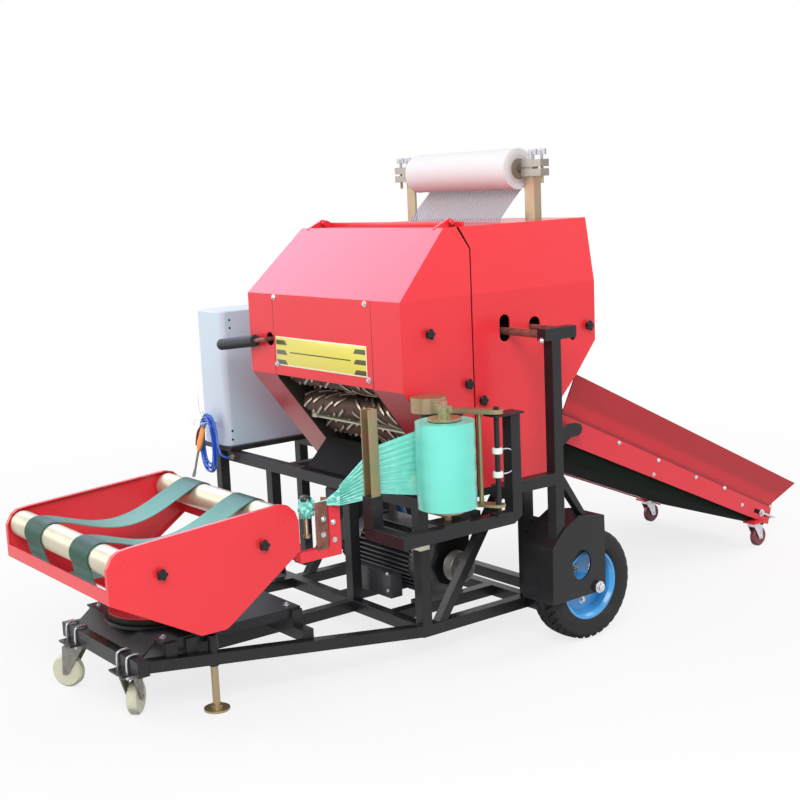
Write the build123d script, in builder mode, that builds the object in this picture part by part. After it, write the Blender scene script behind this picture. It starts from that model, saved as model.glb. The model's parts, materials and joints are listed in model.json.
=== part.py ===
"""A small trailed round baler with a film wrapper, in millimetres.

Machine coordinates: x to the side with the film stand, y towards the feed conveyor, z up
from the ground. x = 0 is the middle of the baling chamber and y = 0 the front face of its
hood. mid_x and mid_y carry this to the datum of the whole machine, the middle of its
bounding box on the ground.
"""
from build123d import *

import os
from math import atan2, cos, degrees, hypot, pi, radians, sin

os.makedirs("parts", exist_ok=True)

# fits and gaps
fit = 0.05
seat = 0.3
clear = 6.0
overlap = 1.0

# stock
tube = 36.0
sheet = 4.0
plate = 6.0
lug = 12.0
rail_height = 34.0

# base frame and the frame over it
rail_top = 114.0
frame_front = 67.0
upper_low = 479.0
upper_top = upper_low + tube

# hood
hood_half = 418.0
chamber_half = 270.0
flank_lean = 41.0
seam_gap = 6.0

# baling rollers, and the hood around their ring
ring_r = 292.0
roller_r = 42.0
rib_height = 5.0
rib_width = 7.0
rib_length = 74.0
rib_skew = 34.0
shaft_r = 12.0
ring_y = ring_r + 78
ring_z = upper_top + ring_r + 108
brow = ring_z - 68
crown = ring_z + ring_r + 109
knee = crown - 202
seam_y = ring_y - 98
seam_bend = crown - 68
crown_front = seam_y - 66
hood_back = ring_y + ring_r + 138
hood_tail = hood_back - 7
hinge_y = seam_y - 10
hinge_z = crown + 14
hinge_pin = 8.0
hinge_boss = 12.0
hinge_x = (chamber_half + hood_half) / 2 - 8

# frame lengths that follow the hood
frame_half = hood_half - 38
upper_rear = hood_back - 200
post_rear = upper_rear - 64
mid_post = post_rear - tube
frame_rear = upper_rear + 60
far_post = -frame_half - 100
cradle_left = -110.0
cradle_right = 170.0

# platform at the nose
nose_y = -831.0
nose_half = 250.0
nose_top = 191.0
nose_height = 44.0
nose_low = nose_top - nose_height
deck_half = 240.0
deck_front = -750.0
deck_rear = -285.0
deck_top = 230.0
deck_low = deck_top - plate
keel_end = -676.0

# road wheels and their boxes
wheel_x = frame_half + 155
wheel_y = post_rear + 53
wheel_r = 178.0
wheel_w = 95.0
rim_r = 112.0
axle_r = 10.0
box_in = wheel_x - 65
box_out = wheel_x + 71

# outrigger, its T-post and the rods from the hood
outrigger_x = wheel_x + 47
tee_y = wheel_y - 147
rung_z = 549.0
rod_front = (ring_y + 41, ring_z + 74, 12.0)
rod_back = (ring_y + 146, ring_z + 78, 8.0)
tee_top = rod_front[1] + tube / 2

# control cabinet
cabinet_left = -hood_half - 482
cabinet_width = 180.0
cabinet_front = 60.0
cabinet_depth = 400.0
cabinet_low = 533.0
cabinet_height = 493.0
cabinet_round = 28.0
stand_leg = cabinet_left + 88
beam_end = cabinet_left + 163

# film stand, roll and pre-stretch unit
stand_x = outrigger_x + 40
stand_rear = tee_y - 209
beam_top = 500.0
stand_top = 787.0
film_x = stand_x - 5
film_y = -14.0
film_r = 85.0
core_r = 38.0
film_low = 545.0
film_width = 250.0
film_top = film_low + film_width
spindle_r = 10.0
spindle_top = 850.0
guide_x = hood_half + 82
guide_y = -190.0
guide_low = 590.0
guide_top = 838.0
guide_width = 38.0
guide_depth = 30.0
arm_pin_x = stand_x + 33
arm_pin_y = stand_rear - 88
arm_pin_r = 8.0
arm_turn = 209.05
arm_half = 20.0
arm_low = 524.0
arm_top = 796.0
near_roller = 128.0
far_roller = 206.0
stretch_r = 27.0
stretch_shaft = 6.0
gear_case_r = 52.0
gear_case_top = 840.0

# wrap table
table_y = -640.0
table_half = 346.0
table_front = -943.0
table_rear = -341.5
table_lip = 15.0
table_floor = 258.0
pivot_pin = 25.0
disc_r = 150.0
drum_r = 40.0
drum_end = 22.0
front_drum = (-895.0, 497.0)
rear_drum = (-402.0, 530.0)
belt_width = 70.0
belt_thick = 3.0
belt_sag = 66.0
belt_left = -232.0
belt_right = 14.0

# motor
motor_y = 280.0
motor_z = 245.0
motor_r = 115.0
motor_front = 250.0
motor_back = -150.0
motor_shaft = 14.0
fin_height = 24.0
fin_pitch = 15.0
pulley_r = 50.0
pulley_x = 285.0
pulley_width = 40.0

# net roll over the hood
net_y = 632.0
net_z = crown + 164
net_r = 65.0
net_half = 275.0
net_shaft = 12.0
net_post = 303.0
post_half = 22.0

# screw jacks
jack_x = 262.0
jack_y = -600.0
jack_r = 11.0
jack_sleeve = 15.0
jack_foot = 37.5
jack_top = 168.0
sleeve_low = 132.0
sleeve_top = 221.0

# conveyor
pivot_y = hood_back + 5
pivot_z = 612.0
pivot_r = 10.0
trough_half = 271.0
trough_flare = 29.0
trough_wall = 4.0
arm_x = trough_half + 41
tail_y = 1817.0
tail_r = 37.5
bed_top = (792.0, 652.0)
bed_foot = (1890.0, 152.0)

# air line
peg = (-793.0, 618.0)
peg_r = 5.0
hose_r = 4.0
coil_thick = 20.0
hose_exit = (-700.0, 497.0)

# overall limits, from the pieces that reach furthest
x_left = cabinet_left
x_right = film_x + film_r
y_front = table_front
y_rear = 2008.0
mid_x = -(x_left + x_right) / 2
mid_y = -(y_front + y_rear) / 2
machine = Plane(origin=(mid_x, mid_y, 0))
back_home = Location((-mid_x, -mid_y, 0))


def side(x):
    """A sketch plane across the machine: sketch in (y, z), extrude towards +x."""
    return Plane(origin=(mid_x + x, mid_y, 0), x_dir=(0, 1, 0), z_dir=(1, 0, 0))


def level(z):
    """A level sketch plane: sketch in (x, y), extrude upwards."""
    return Plane(origin=(mid_x, mid_y, z), x_dir=(1, 0, 0), z_dir=(0, 0, 1))


def across(y):
    """An upright sketch plane: sketch in (x, z), extrude towards -y."""
    return Plane(origin=(mid_x, mid_y + y, 0), x_dir=(1, 0, 0), z_dir=(0, -1, 0))


def bar(x, y, z, mode=Mode.ADD):
    """A square-cut length of tube, strip or plate between limits in x, y and z."""
    with Locations(((x[0] + x[1]) / 2, (y[0] + y[1]) / 2, (z[0] + z[1]) / 2)):
        Box(abs(x[1] - x[0]), abs(y[1] - y[0]), abs(z[1] - z[0]), mode=mode)


def round_x(x, y, z, r, mode=Mode.ADD):
    with Locations(((x[0] + x[1]) / 2, y, z)):
        Cylinder(r, abs(x[1] - x[0]), rotation=(0, 90, 0), mode=mode)


def round_y(x, y, z, r, mode=Mode.ADD):
    with Locations((x, (y[0] + y[1]) / 2, z)):
        Cylinder(r, abs(y[1] - y[0]), rotation=(90, 0, 0), mode=mode)


def round_z(x, y, z, r, mode=Mode.ADD):
    with Locations((x, y, (z[0] + z[1]) / 2)):
        Cylinder(r, abs(z[1] - z[0]), mode=mode)


def plate_x(outline, x, mode=Mode.ADD):
    """A plate across the machine: outline in (y, z), thickness along x."""
    with BuildSketch(side(min(x))) as face:
        Polygon(*outline, align=None)
    extrude(face.sketch, amount=abs(x[1] - x[0]), mode=mode)


def plate_y(outline, y, mode=Mode.ADD):
    with BuildSketch(across(max(y))) as face:
        Polygon(*outline, align=None)
    extrude(face.sketch, amount=abs(y[1] - y[0]), mode=mode)


def plate_z(outline, z, mode=Mode.ADD):
    with BuildSketch(level(min(z))) as face:
        Polygon(*outline, align=None)
    extrude(face.sketch, amount=abs(z[1] - z[0]), mode=mode)


def turned_x(outline, y, z, mode=Mode.ADD):
    """A turned piece about an axis along x: outline in (x, radius)."""
    centre = (mid_x, mid_y + y, z)
    with BuildSketch(Plane(origin=centre, x_dir=(1, 0, 0), z_dir=(0, -1, 0))) as face:
        Polygon(*outline, align=None)
    revolve(face.sketch, axis=Axis(centre, (1, 0, 0)), mode=mode)


def keep(builder, name):
    """Labels a finished piece and writes it."""
    builder.part.label = name
    export_step(builder.part, f"parts/{name}.step")


# frames

brace_low = (frame_front + 64, frame_front + 100)
brace_high = (mid_post - 110, mid_post - 74)


def nose_rail(way, mode=Mode.ADD):
    """The rail that climbs from a front corner of the base to the nose."""
    run = nose_y + tube - frame_front
    share = run / (nose_y - frame_front)
    inward = way * (nose_half - 5 - frame_half) * share
    climb = (nose_top - rail_top) * share
    low = rail_top - rail_height
    inner = way * (frame_half - tube)
    outer = way * frame_half
    with BuildSketch(across(frame_front)) as face:
        Polygon((inner, low), (outer, low), (outer, rail_top), (inner, rail_top), align=None)
    extrude(face.sketch, amount=hypot(hypot(inward, run), climb), dir=(inward, run, climb), mode=mode)


with BuildPart(machine) as base_frame:
    rails = (rail_top - tube, rail_top)
    posts = (rail_top - 1, upper_low)
    for way in (-1, 1):
        flank = (way * frame_half, way * (frame_half - tube))
        bar(flank, (frame_front, frame_rear), rails)
        bar(flank, (mid_post, post_rear), posts)
        plate_x([(brace_low[0], rail_top - 1), (brace_low[1], rail_top - 1), (brace_high[1], upper_low),
                 (brace_high[0], upper_low)], (way * (frame_half - 3), way * (frame_half - tube + 3)))
        nose_rail(way)
    for y in (frame_front, mid_post, frame_rear - tube):
        bar((-frame_half + 1, frame_half - 1), (y, y + tube), rails)
    bar((far_post, -frame_half + 1), (frame_front, frame_front + tube), rails)
    for x in (far_post, -tube / 2, frame_half - tube):
        bar((x, x + tube), (frame_front, frame_front + tube), posts)
    bar((-tube / 2, tube / 2), (keel_end, frame_front + 1), rails)
    bar((-tube / 2, tube / 2), (keel_end, keel_end + tube), (rail_top - 1, nose_low))
    for x in (cradle_left, cradle_right):
        bar((x, x + tube), (frame_front + tube - 1, mid_post + 1), rails)
    for way in (-1, 1):
        round_z(way * jack_x, jack_y, (sleeve_low, sleeve_top), jack_sleeve)
        round_z(way * jack_x, jack_y, (sleeve_low - 12, sleeve_top + 9), jack_r + fit, Mode.SUBTRACT)
keep(base_frame, "base_frame")

carrier = [(upper_rear - 2, upper_low), (upper_rear, upper_low), (pivot_y - 30, pivot_z - 22),
           (pivot_y, pivot_z - 22), (pivot_y + 17, pivot_z - 16), (pivot_y + 24, pivot_z),
           (pivot_y + 17, pivot_z + 16), (pivot_y, pivot_z + 22), (pivot_y - 40, pivot_z + 22),
           (upper_rear, upper_top - 2), (upper_rear - 2, upper_top - 2)]
with BuildPart(machine) as upper_frame:
    ring = (upper_low, upper_top)
    for way in (-1, 1):
        bar((way * frame_half, way * (frame_half - tube)), (frame_front, upper_rear), ring)
        plate_x(carrier, (way * (arm_x - 6), way * (arm_x + 6)))
        round_x((way * (trough_half - 9), way * arm_x), pivot_y, pivot_z, pivot_r)
    for y in (frame_front, upper_rear - tube):
        bar((-frame_half + 1, frame_half - 1), (y, y + tube), ring)
    bar((beam_end, -frame_half + 1), (frame_front, frame_front + tube), ring)
keep(upper_frame, "upper_frame")

post_low = 340.0
with BuildPart(machine) as outrigger:
    post = (outrigger_x - tube / 2, outrigger_x + tube / 2)
    bar((frame_half, stand_x), (frame_front, frame_front + tube), (upper_low, upper_top))
    bar(post, (stand_rear - tube, tee_y), (rung_z - tube / 2, rung_z + tube / 2))
    bar((post[1] - 1, stand_x), (stand_rear - tube, stand_rear), (rung_z - tube / 2, rung_z + tube / 2))
    bar(post, (tee_y - tube / 2, tee_y + tube / 2), (post_low, tee_top - 1))
    bar(post, (rod_front[0] - 13, rod_back[0] + 10), (tee_top - tube, tee_top))
    strut = [(tee_y + 17, rung_z + 11), (tee_y + 17, rung_z - 29), (tee_y + 94, wheel_r + 238),
             (tee_y + 116, wheel_r + 234.7), (tee_y + 98, wheel_r + 262)]
    plate_x(strut, (outrigger_x - 14, outrigger_x + 14))
keep(outrigger, "outrigger")

with BuildPart(machine) as support_rods:
    for y, z, r in (rod_front, rod_back):
        round_x((chamber_half, outrigger_x - tube / 2), y, z, r)
keep(support_rods, "support_rods")

with BuildPart(machine) as cabinet_stand:
    rear_beam = cabinet_front + cabinet_depth - tube - 4
    for y in (frame_front, rear_beam):
        bar((stand_leg - tube / 2, stand_leg + tube / 2), (y, y + tube), (5, upper_top + 1))
        bar((stand_leg - 38, stand_leg + 38), (y - 20, y + tube + 20), (0, 6))
    bar((stand_leg, -frame_half), (rear_beam, rear_beam + tube), (upper_low, upper_top))
    shelf = (cabinet_left, cabinet_left + cabinet_width + 20)
    bar(shelf, (cabinet_front, cabinet_front + cabinet_depth), (upper_top, cabinet_low))
    bar((shelf[0] + 20, shelf[1] - 50), (cabinet_front + 50, cabinet_front + cabinet_depth - 50),
        (upper_top - 1, cabinet_low + 1), Mode.SUBTRACT)
keep(cabinet_stand, "cabinet_stand")

with BuildPart(machine) as control_cabinet:
    with BuildSketch(level(cabinet_low)):
        with Locations((cabinet_left + cabinet_width / 2, cabinet_front + cabinet_depth / 2)):
            RectangleRounded(cabinet_width, cabinet_depth, cabinet_round)
    extrude(amount=cabinet_height)
    chamfer(control_cabinet.faces().sort_by(Axis.Z)[-1].edges(), 3)
    round_y(peg[0], (-6, cabinet_front + 1), peg[1], peg_r)
keep(control_cabinet, "control_cabinet")

with BuildPart(machine) as platform:
    bar((-nose_half, nose_half), (nose_y, nose_y + tube), (nose_low, nose_top))
    for y in (deck_front + 10, keel_end):
        bar((-nose_half + 2, nose_half - 2), (y, y + tube), (nose_low, deck_low))
    bar((-nose_half, nose_half), (deck_rear - tube, deck_rear), (nose_low - plate, deck_low))
    bar((-305, 305), (deck_rear - tube, deck_rear), (nose_low - plate - 1, nose_low + 29))
    bar((-deck_half, deck_half), (deck_front, deck_rear), (deck_low, deck_top))
    apron = [(nose_y + tube - 2, nose_top - 6), (deck_front, deck_low), (deck_front, deck_top),
             (nose_y + tube - 5, nose_top), (nose_y, nose_top), (nose_y, nose_top - 6)]
    plate_x(apron, (-deck_half + 30, deck_half - 30))
    for way in (-1, 1):
        bar((way * (deck_half - 6), way * deck_half), (deck_front + 10, deck_rear), (200, deck_top))
    for x in (160, -180):
        bar((x - 42, x + 42), (nose_y - 27, nose_y + 59), (nose_low - plate, nose_low))
    for way in (-1, 1):
        nose_rail(way, Mode.SUBTRACT)
keep(platform, "platform")

with BuildPart(machine) as turntable_base:
    round_z(0, table_y, (deck_top, deck_top + 10), disc_r)
    round_z(0, table_y, (deck_top + 9, deck_top + 40), pivot_pin)
keep(turntable_base, "turntable_base")

# hood and baling chamber

half_gap = seam_gap / 2
lip_y = seam_y - 22
lip_z = upper_top + clear
front_outline = [(0, brow), (0, knee), (crown_front, crown), (seam_y - 13 - half_gap, crown),
                 (seam_y + 24 - half_gap, seam_bend), (seam_y - half_gap, knee - 5),
                 (seam_y - half_gap, lip_z), (lip_y, lip_z)]
front_inside = [(sheet, brow + sheet), (sheet, knee - 2), (crown_front + 2, crown - sheet),
                (seam_y + 130, crown - sheet), (seam_y + 130, lip_z + sheet), (lip_y + 2, lip_z + sheet)]
rear_outline = [(seam_y + half_gap, upper_top), (seam_y + half_gap, knee - 5),
                (seam_y + 24 + half_gap, seam_bend), (seam_y - 6, crown), (hood_back, crown),
                (hood_tail, knee), (hood_tail, ring_z + 8), (hood_back - 97, ring_z - 98),
                (upper_rear + 43, ring_z - 156), (upper_rear, ring_z - 203), (upper_rear, upper_top)]
rear_inside = [(seam_y - 72, upper_top + sheet), (seam_y - 72, crown - sheet),
               (hood_back - sheet, crown - sheet), (hood_tail - sheet, knee),
               (hood_tail - sheet, ring_z + 9.5), (hood_back - 100, ring_z - 95),
               (upper_rear + 40, ring_z - 153), (upper_rear - sheet, ring_z - 201.5),
               (upper_rear - sheet, upper_top + sheet)]
mouth = [(0, brow - 0.1), (4.8, brow + 3.7), (lip_y + 4.8, lip_z + 9), (seam_y + 28, lip_z + 9),
         (seam_y + 28, upper_low), (0, upper_low)]
strip_y = lip_y - 113
strip_z = brow - 159.5
mouth_strip = [(strip_y, strip_z), (strip_y + 29, strip_z + 11.5), (strip_y + 28, strip_z + 15.5),
               (strip_y - 1, strip_z + sheet)]
feed_inlet = [(upper_rear + 8, ring_z - 215), (hood_back - 85, ring_z - 105), (hood_back - 115, ring_z - 80),
              (upper_rear - 12, ring_z - 185)]


def cross_section(inset=0.0):
    """The hood from the front, in (x, z): upright flanks to the knee, then leaning in."""
    half = hood_half - inset
    return [(-half, upper_low), (half, upper_low), (half, knee), (half - flank_lean, crown + 1),
            (flank_lean - half, crown + 1), (-half, knee)]


def on_ring(angle):
    return (ring_y + ring_r * cos(radians(angle)), ring_z + ring_r * sin(radians(angle)))


roller_table = (
    # name, angle round the chamber from the back over the top
    ("gate_roller_top", 172),
    ("gate_roller_middle", 194),
    ("gate_roller_low", 216),
    ("gate_roller_bottom", 239),
    ("chamber_roller_front", 262),
    ("chamber_roller_rear", 285),
)

inner_wall = chamber_half - sheet
lever_x = -chamber_half - 23
lever_z = ring_z + 49
lever_y = -22.0
lever_run = 284.0
lever_drop = 36.0
lever_r = 7.0
grip_r = 18.5
grip_length = 222.0

with BuildPart(machine) as gate_room:
    plate_x(front_inside, (-hood_half, hood_half))
    plate_y(cross_section(sheet), (-1, ring_y + 50), Mode.INTERSECT)
    for way in (-1, 1):
        bar((way * inner_wall, way * chamber_half), (-1, ring_y + 50), (upper_low, crown), Mode.SUBTRACT)

with BuildPart(machine) as gate_shell:
    plate_x(front_outline, (-hood_half, hood_half))
    plate_y(cross_section(), (-1, seam_y + 28), Mode.INTERSECT)
    add(gate_room.part.moved(back_home), mode=Mode.SUBTRACT)
    plate_x(mouth, (-inner_wall, inner_wall), Mode.SUBTRACT)
    plate_x(mouth_strip, (-chamber_half + 1, chamber_half - 1))
    round_y(lever_x, (-sheet, 2 * sheet), lever_z, grip_r + sheet, Mode.SUBTRACT)
    for way in (-1, 1):
        ear = (way * (hinge_x - lug / 2), way * (hinge_x + lug / 2))
        plate_x([(crown_front - 6, crown - 2), (hinge_y - 5, hinge_z + 10), (hinge_y - 3, hinge_z - 10),
                 (hinge_y - 12, crown - 2)], ear)
        round_x(ear, hinge_y, hinge_z, hinge_boss)
        round_x((way * (hinge_x - lug), way * (hinge_x + lug)), hinge_y, hinge_z, hinge_pin + fit,
                Mode.SUBTRACT)
    for name, angle in roller_table[:4]:
        round_x((-chamber_half - 10, chamber_half + 10), *on_ring(angle), shaft_r + fit, Mode.SUBTRACT)
keep(gate_shell, "gate_shell")

with BuildPart(machine) as gate_handle:
    turn = 90 - degrees(atan2(lever_drop, lever_run))
    middle = lever_run - grip_length / 2
    bar((lever_x - lever_r, -chamber_half), (20, 60), (lever_z - 2 * lever_r, lever_z + 2 * lever_r))
    round_y(lever_x, (lever_y, 30), lever_z, lever_r)
    with Locations((lever_x, lever_y, lever_z)):
        Sphere(lever_r + 0.2)
    with Locations(Location((lever_x - lever_run / 2, lever_y, lever_z - lever_drop / 2), (0, turn, 0))):
        Cylinder(lever_r - 0.1, hypot(lever_run, lever_drop))
    with Locations(Location((lever_x - middle, lever_y, lever_z - middle * lever_drop / lever_run),
                            (0, turn, 0))):
        Cylinder(grip_r, grip_length)
keep(gate_handle, "gate_handle")

with BuildPart(machine) as chamber_room:
    plate_x(rear_inside, (-hood_half, hood_half))
    for way in (-1, 1):
        bar((way * inner_wall, way * chamber_half), (seam_y - 82, hood_back + 100), (upper_low, crown),
            Mode.SUBTRACT)

with BuildPart(machine) as chamber_shell:
    plate_x(rear_outline, (-hood_half + sheet, hood_half - sheet))
    plate_y(cross_section(sheet), (seam_y - 72, hood_back + 1), Mode.INTERSECT)
    add(chamber_room.part.moved(back_home), mode=Mode.SUBTRACT)
    plate_x(feed_inlet, (-inner_wall + 8, inner_wall - 8), Mode.SUBTRACT)
    for way in (-1, 1):
        round_x((way * (hinge_x - 18), way * (hinge_x + 18)), hinge_y, hinge_z, hinge_pin)
        plate_x([(seam_y - 4, crown - sheet), (hinge_y - 9, hinge_z - 3), (hinge_y - 6, hinge_z + 9),
                 (hinge_y + 9, hinge_z + 9), (seam_y + 58, crown - sheet)],
                (way * (hinge_x - 18), way * (hinge_x - 10)))
    for name, angle in roller_table[4:]:
        round_x((-chamber_half - 10, chamber_half + 10), *on_ring(angle), shaft_r + fit, Mode.SUBTRACT)
keep(chamber_shell, "chamber_shell")

with BuildPart(machine) as cover_core:
    plate_y(cross_section(sheet), (seam_y - 82, hood_back + 100))

for name, way in (("side_cover_right", 1), ("side_cover_left", -1)):
    with BuildPart(machine) as side_cover:
        plate_x(rear_outline, (way * (hood_half - 60), way * hood_half))
        plate_y(cross_section(), (seam_y - 72, hood_back + 1), Mode.INTERSECT)
        add(cover_core.part.moved(back_home), mode=Mode.SUBTRACT)
        if way > 0:
            with BuildSketch(side(hood_half - 20)):
                with Locations((rod_front[0] - 9, rod_front[1] + 11)):
                    SlotOverall(84, 42, rotation=90)
                with Locations((rod_back[0] + 11, rod_back[1] + 7)):
                    Circle(3 * rod_back[2])
            extrude(amount=40, mode=Mode.SUBTRACT)
    keep(side_cover, name)

drum_face = roller_r - rib_height
roller_half = inner_wall - 7
with BuildPart() as ribbed_roller:
    for k in range(6):
        for row, x in enumerate((50, 110, 170, 230)):
            for way in (-1, 1):
                with Locations(Location((0, 0, 0), (60 * k + 30 * (row % 2), 0, 0))):
                    with Locations(Location((way * x, 0, drum_face), (0, 0, -way * rib_skew))):
                        Box(rib_length * 0.8, rib_width, 4 * rib_height)
    Cylinder(roller_r, 2 * roller_half, rotation=(0, 90, 0), mode=Mode.INTERSECT)
    Cylinder(drum_face, 2 * roller_half, rotation=(0, 90, 0))
    Cylinder(shaft_r, 2 * (inner_wall + 4), rotation=(0, 90, 0))

for name, angle in roller_table:
    y, z = on_ring(angle)
    with BuildPart(Plane(origin=(mid_x, mid_y + y, z))) as roller:
        add(ribbed_roller.part)
    keep(roller, name)

with BuildPart(machine) as ramp:
    ramp_top = (lip_y - 60, upper_top + 94)
    beam_back = frame_front + tube
    plate_x([(frame_front + 1, upper_top), (beam_back, upper_top), (beam_back, upper_top + 2), ramp_top,
             (ramp_top[0] - 2, ramp_top[1] + 3), (beam_back - 5, upper_top + sheet),
             (frame_front + 1, upper_top + sheet)], (-inner_wall + 6, inner_wall - 6))
keep(ramp, "ramp")

# wheels and wheel boxes

box_front = wheel_y - 185
box_rear = wheel_y + 37
box_arch = [(box_front + 3, wheel_r + 155), (wheel_y - 134, wheel_r + 204), (wheel_y - 75, wheel_r + 235),
            (box_rear - 1, wheel_r + 218)]
box_side = [(box_front, wheel_r - 20), *box_arch, (box_rear, wheel_r + 174), (box_rear, wheel_r - 18)]
box_cover = [(box_front - plate, wheel_r - 20), (box_front, wheel_r - 20), *box_arch,
             (box_rear - 1, wheel_r + 224), (wheel_y - 75, wheel_r + 241), (wheel_y - 138, wheel_r + 209),
             (box_front - 3, wheel_r + 157)]
hand_hole = (wheel_y - 66, wheel_r + 84)
for name, way in (("wheel_box_right", 1), ("wheel_box_left", -1)):
    with BuildPart(machine) as wheel_box:
        plate_x(box_side, (way * (box_out - plate), way * box_out))
        plate_x(box_side, (way * box_in, way * (box_in + plate)))
        plate_x(box_cover, (way * box_in, way * box_out))
        if way > 0:
            bar((outrigger_x - tube / 2, outrigger_x + tube / 2), (tee_y - tube / 2, tee_y + tube / 2),
                (post_low - 10, wheel_r + 262), Mode.SUBTRACT)
        bar((way * frame_half, way * box_in), (mid_post, post_rear), (rail_top - tube, rail_top))
        bar((way * frame_half, way * box_in), (mid_post, post_rear), (post_low, post_low + tube))
        bar((way * (box_in - 6), way * box_in), (mid_post, post_rear), (rail_top - tube, 170))
        round_x((way * box_in, way * (box_out + 10)), wheel_y, wheel_r, axle_r)
        round_x((way * box_out, way * (box_out + 6)), wheel_y, wheel_r, 2 * axle_r)
        for inner in (wheel_x - wheel_w / 2 - 10, wheel_x + wheel_w / 2 + 5):
            round_x((way * inner, way * (inner + 5)), wheel_y, wheel_r, 16)
        with BuildSketch(side(way * box_out - 8)):
            with Locations(hand_hole):
                Ellipse(40, 47)
        extrude(amount=16, mode=Mode.SUBTRACT)
    keep(wheel_box, name)

tread_half = 18.0
for name, way in (("right", 1), ("left", -1)):
    centre = way * wheel_x
    wall = wheel_w / 2
    tyre_half = [(40, rim_r), (wall, rim_r + 12), (wall, wheel_r - 20), (36, wheel_r - 4),
                 (tread_half, wheel_r)]
    near_half = [(centre + x, r) for x, r in tyre_half]
    far_half = [(centre - x, r) for x, r in tyre_half[::-1]]
    with BuildPart(machine) as tyre:
        turned_x(near_half + far_half, wheel_y, wheel_r)
    keep(tyre, f"tyre_{name}")
    dish = [(-40, rim_r - 8), (-40, rim_r), (40, rim_r), (40, rim_r - 8), (30, rim_r - 16), (4, rim_r - 24),
            (4, 30), (40, 26), (40, axle_r + fit), (-40, axle_r + fit), (-40, 26), (-2, 30),
            (-2, rim_r - 24), (-30, rim_r - 16)]
    with BuildPart(machine) as rim:
        turned_x([(centre + way * x, r) for x, r in dish], wheel_y, wheel_r)
    keep(rim, f"rim_{name}")

# motor

with BuildPart(machine) as motor:
    core_half = motor_r - fin_height
    round_x((motor_back + 60, motor_front - 60), motor_y, motor_z, core_half)
    rows = int(motor_r / fin_pitch)
    for row in range(-rows, rows + 1):
        rise = row * fin_pitch
        reach = (motor_r ** 2 - rise ** 2) ** 0.5
        bar((motor_back + 60, motor_front - 60), (motor_y - reach, motor_y + reach),
            (motor_z + rise - 2.5, motor_z + rise + 2.5))
    turned_x([(motor_back, 0), (motor_back, motor_r - 30), (motor_back + 14, motor_r - 3),
              (motor_back + 66, motor_r - 3), (motor_back + 66, 0)], motor_y, motor_z)
    turned_x([(motor_front - 66, 0), (motor_front - 66, motor_r - 6), (motor_front - 40, motor_r - 6),
              (motor_front - 8, motor_r - 30), (motor_front, 60), (motor_front + lug, 60),
              (motor_front + lug, 0)], motor_y, motor_z)
    round_x((motor_front + lug - 1, pulley_x + pulley_width + 7), motor_y, motor_z, motor_shaft)
    for x in (cradle_left, cradle_right):
        foot = (x, x + tube)
        bar(foot, (motor_y - 95, motor_y + 95), (rail_top, rail_top + 14))
        plate_x([(motor_y - 70, rail_top + 13), (motor_y + 70, rail_top + 13), (motor_y + 40, motor_z - 60),
                 (motor_y - 40, motor_z - 60)], foot)
    box_z = motor_z - 60
    bar((-60, 140), (motor_y - motor_r - 36, motor_y - motor_r + 10), (box_z - 50, box_z + 30))
    bar((-40, 120), (motor_y - motor_r, motor_y - core_half + 20), (box_z - 36, box_z + 16))
keep(motor, "motor")

guard_x = motor_front + lug
with BuildPart(machine) as belt_guard:
    with BuildSketch(side(guard_x)):
        Polygon((motor_y - 70, motor_z), (motor_y + 10, motor_z + 190), (motor_y + 50, motor_z + 205),
                (motor_y + 85, motor_z + 180), (motor_y + 70, motor_z), (motor_y + 45, motor_z - 55),
                (motor_y, motor_z - 72), (motor_y - 48, motor_z - 52), align=None)
        with Locations((motor_y, motor_z)):
            Circle(motor_shaft + 4, mode=Mode.SUBTRACT)
    extrude(amount=plate)
keep(belt_guard, "belt_guard")

with BuildPart(machine) as motor_pulley:
    groove = pulley_r - 10
    near = pulley_x + 7
    far = pulley_x + pulley_width
    turned_x([(pulley_x, motor_shaft + fit), (pulley_x, pulley_r), (near, pulley_r), (near + 13, groove),
              (far - 7, pulley_r), (far, pulley_r), (far, pulley_r - 6), (far - 7, groove), (far - 7, 22),
              (far, 22), (far, motor_shaft + fit)], motor_y, motor_z)
keep(motor_pulley, "motor_pulley")

# film stand

arm_way = (cos(radians(arm_turn)), sin(radians(arm_turn)))


def along_arm(distance):
    """A point in plan on the pre-stretch arm, from its pin."""
    return (arm_pin_x + arm_way[0] * distance, arm_pin_y + arm_way[1] * distance)


beam = (stand_x, stand_x + tube)
with BuildPart(machine) as film_stand:
    bar(beam, (guide_y - tube / 2, stand_rear), (beam_top - tube, beam_top))
    bar((guide_x - 20, stand_x + 1), (guide_y - tube / 2, guide_y + tube / 2), (beam_top - tube, beam_top))
    bar((guide_x - 20, guide_x + 20), (guide_y - 20, guide_y + 20), (beam_top - 1, guide_low))
    bar(beam, (stand_rear - tube, stand_rear), (beam_top - 1, stand_top))
    bar((stand_x - 4, arm_pin_x + 19), (arm_pin_y - 17, stand_rear + 3), (stand_top, stand_top + 6))
    bar((arm_pin_x - 15, arm_pin_x + 19), (arm_pin_y - 21, arm_pin_y + 21), (beam_top, beam_top + 6))
    plate_x([(stand_rear - 33, beam_top - tube - 1), (stand_rear + 1, beam_top - tube - 1),
             (stand_rear + 1, beam_top - 15)], (beam[0] - 1, beam[1] + 1), Mode.SUBTRACT)
    round_z(arm_pin_x, arm_pin_y, (beam_top + 5, arm_top + 20), arm_pin_r)
    bar((film_x - 37, beam[1]), (film_y - 46, film_y + 44), (beam_top, beam_top + 8))
keep(film_stand, "film_stand")

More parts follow.
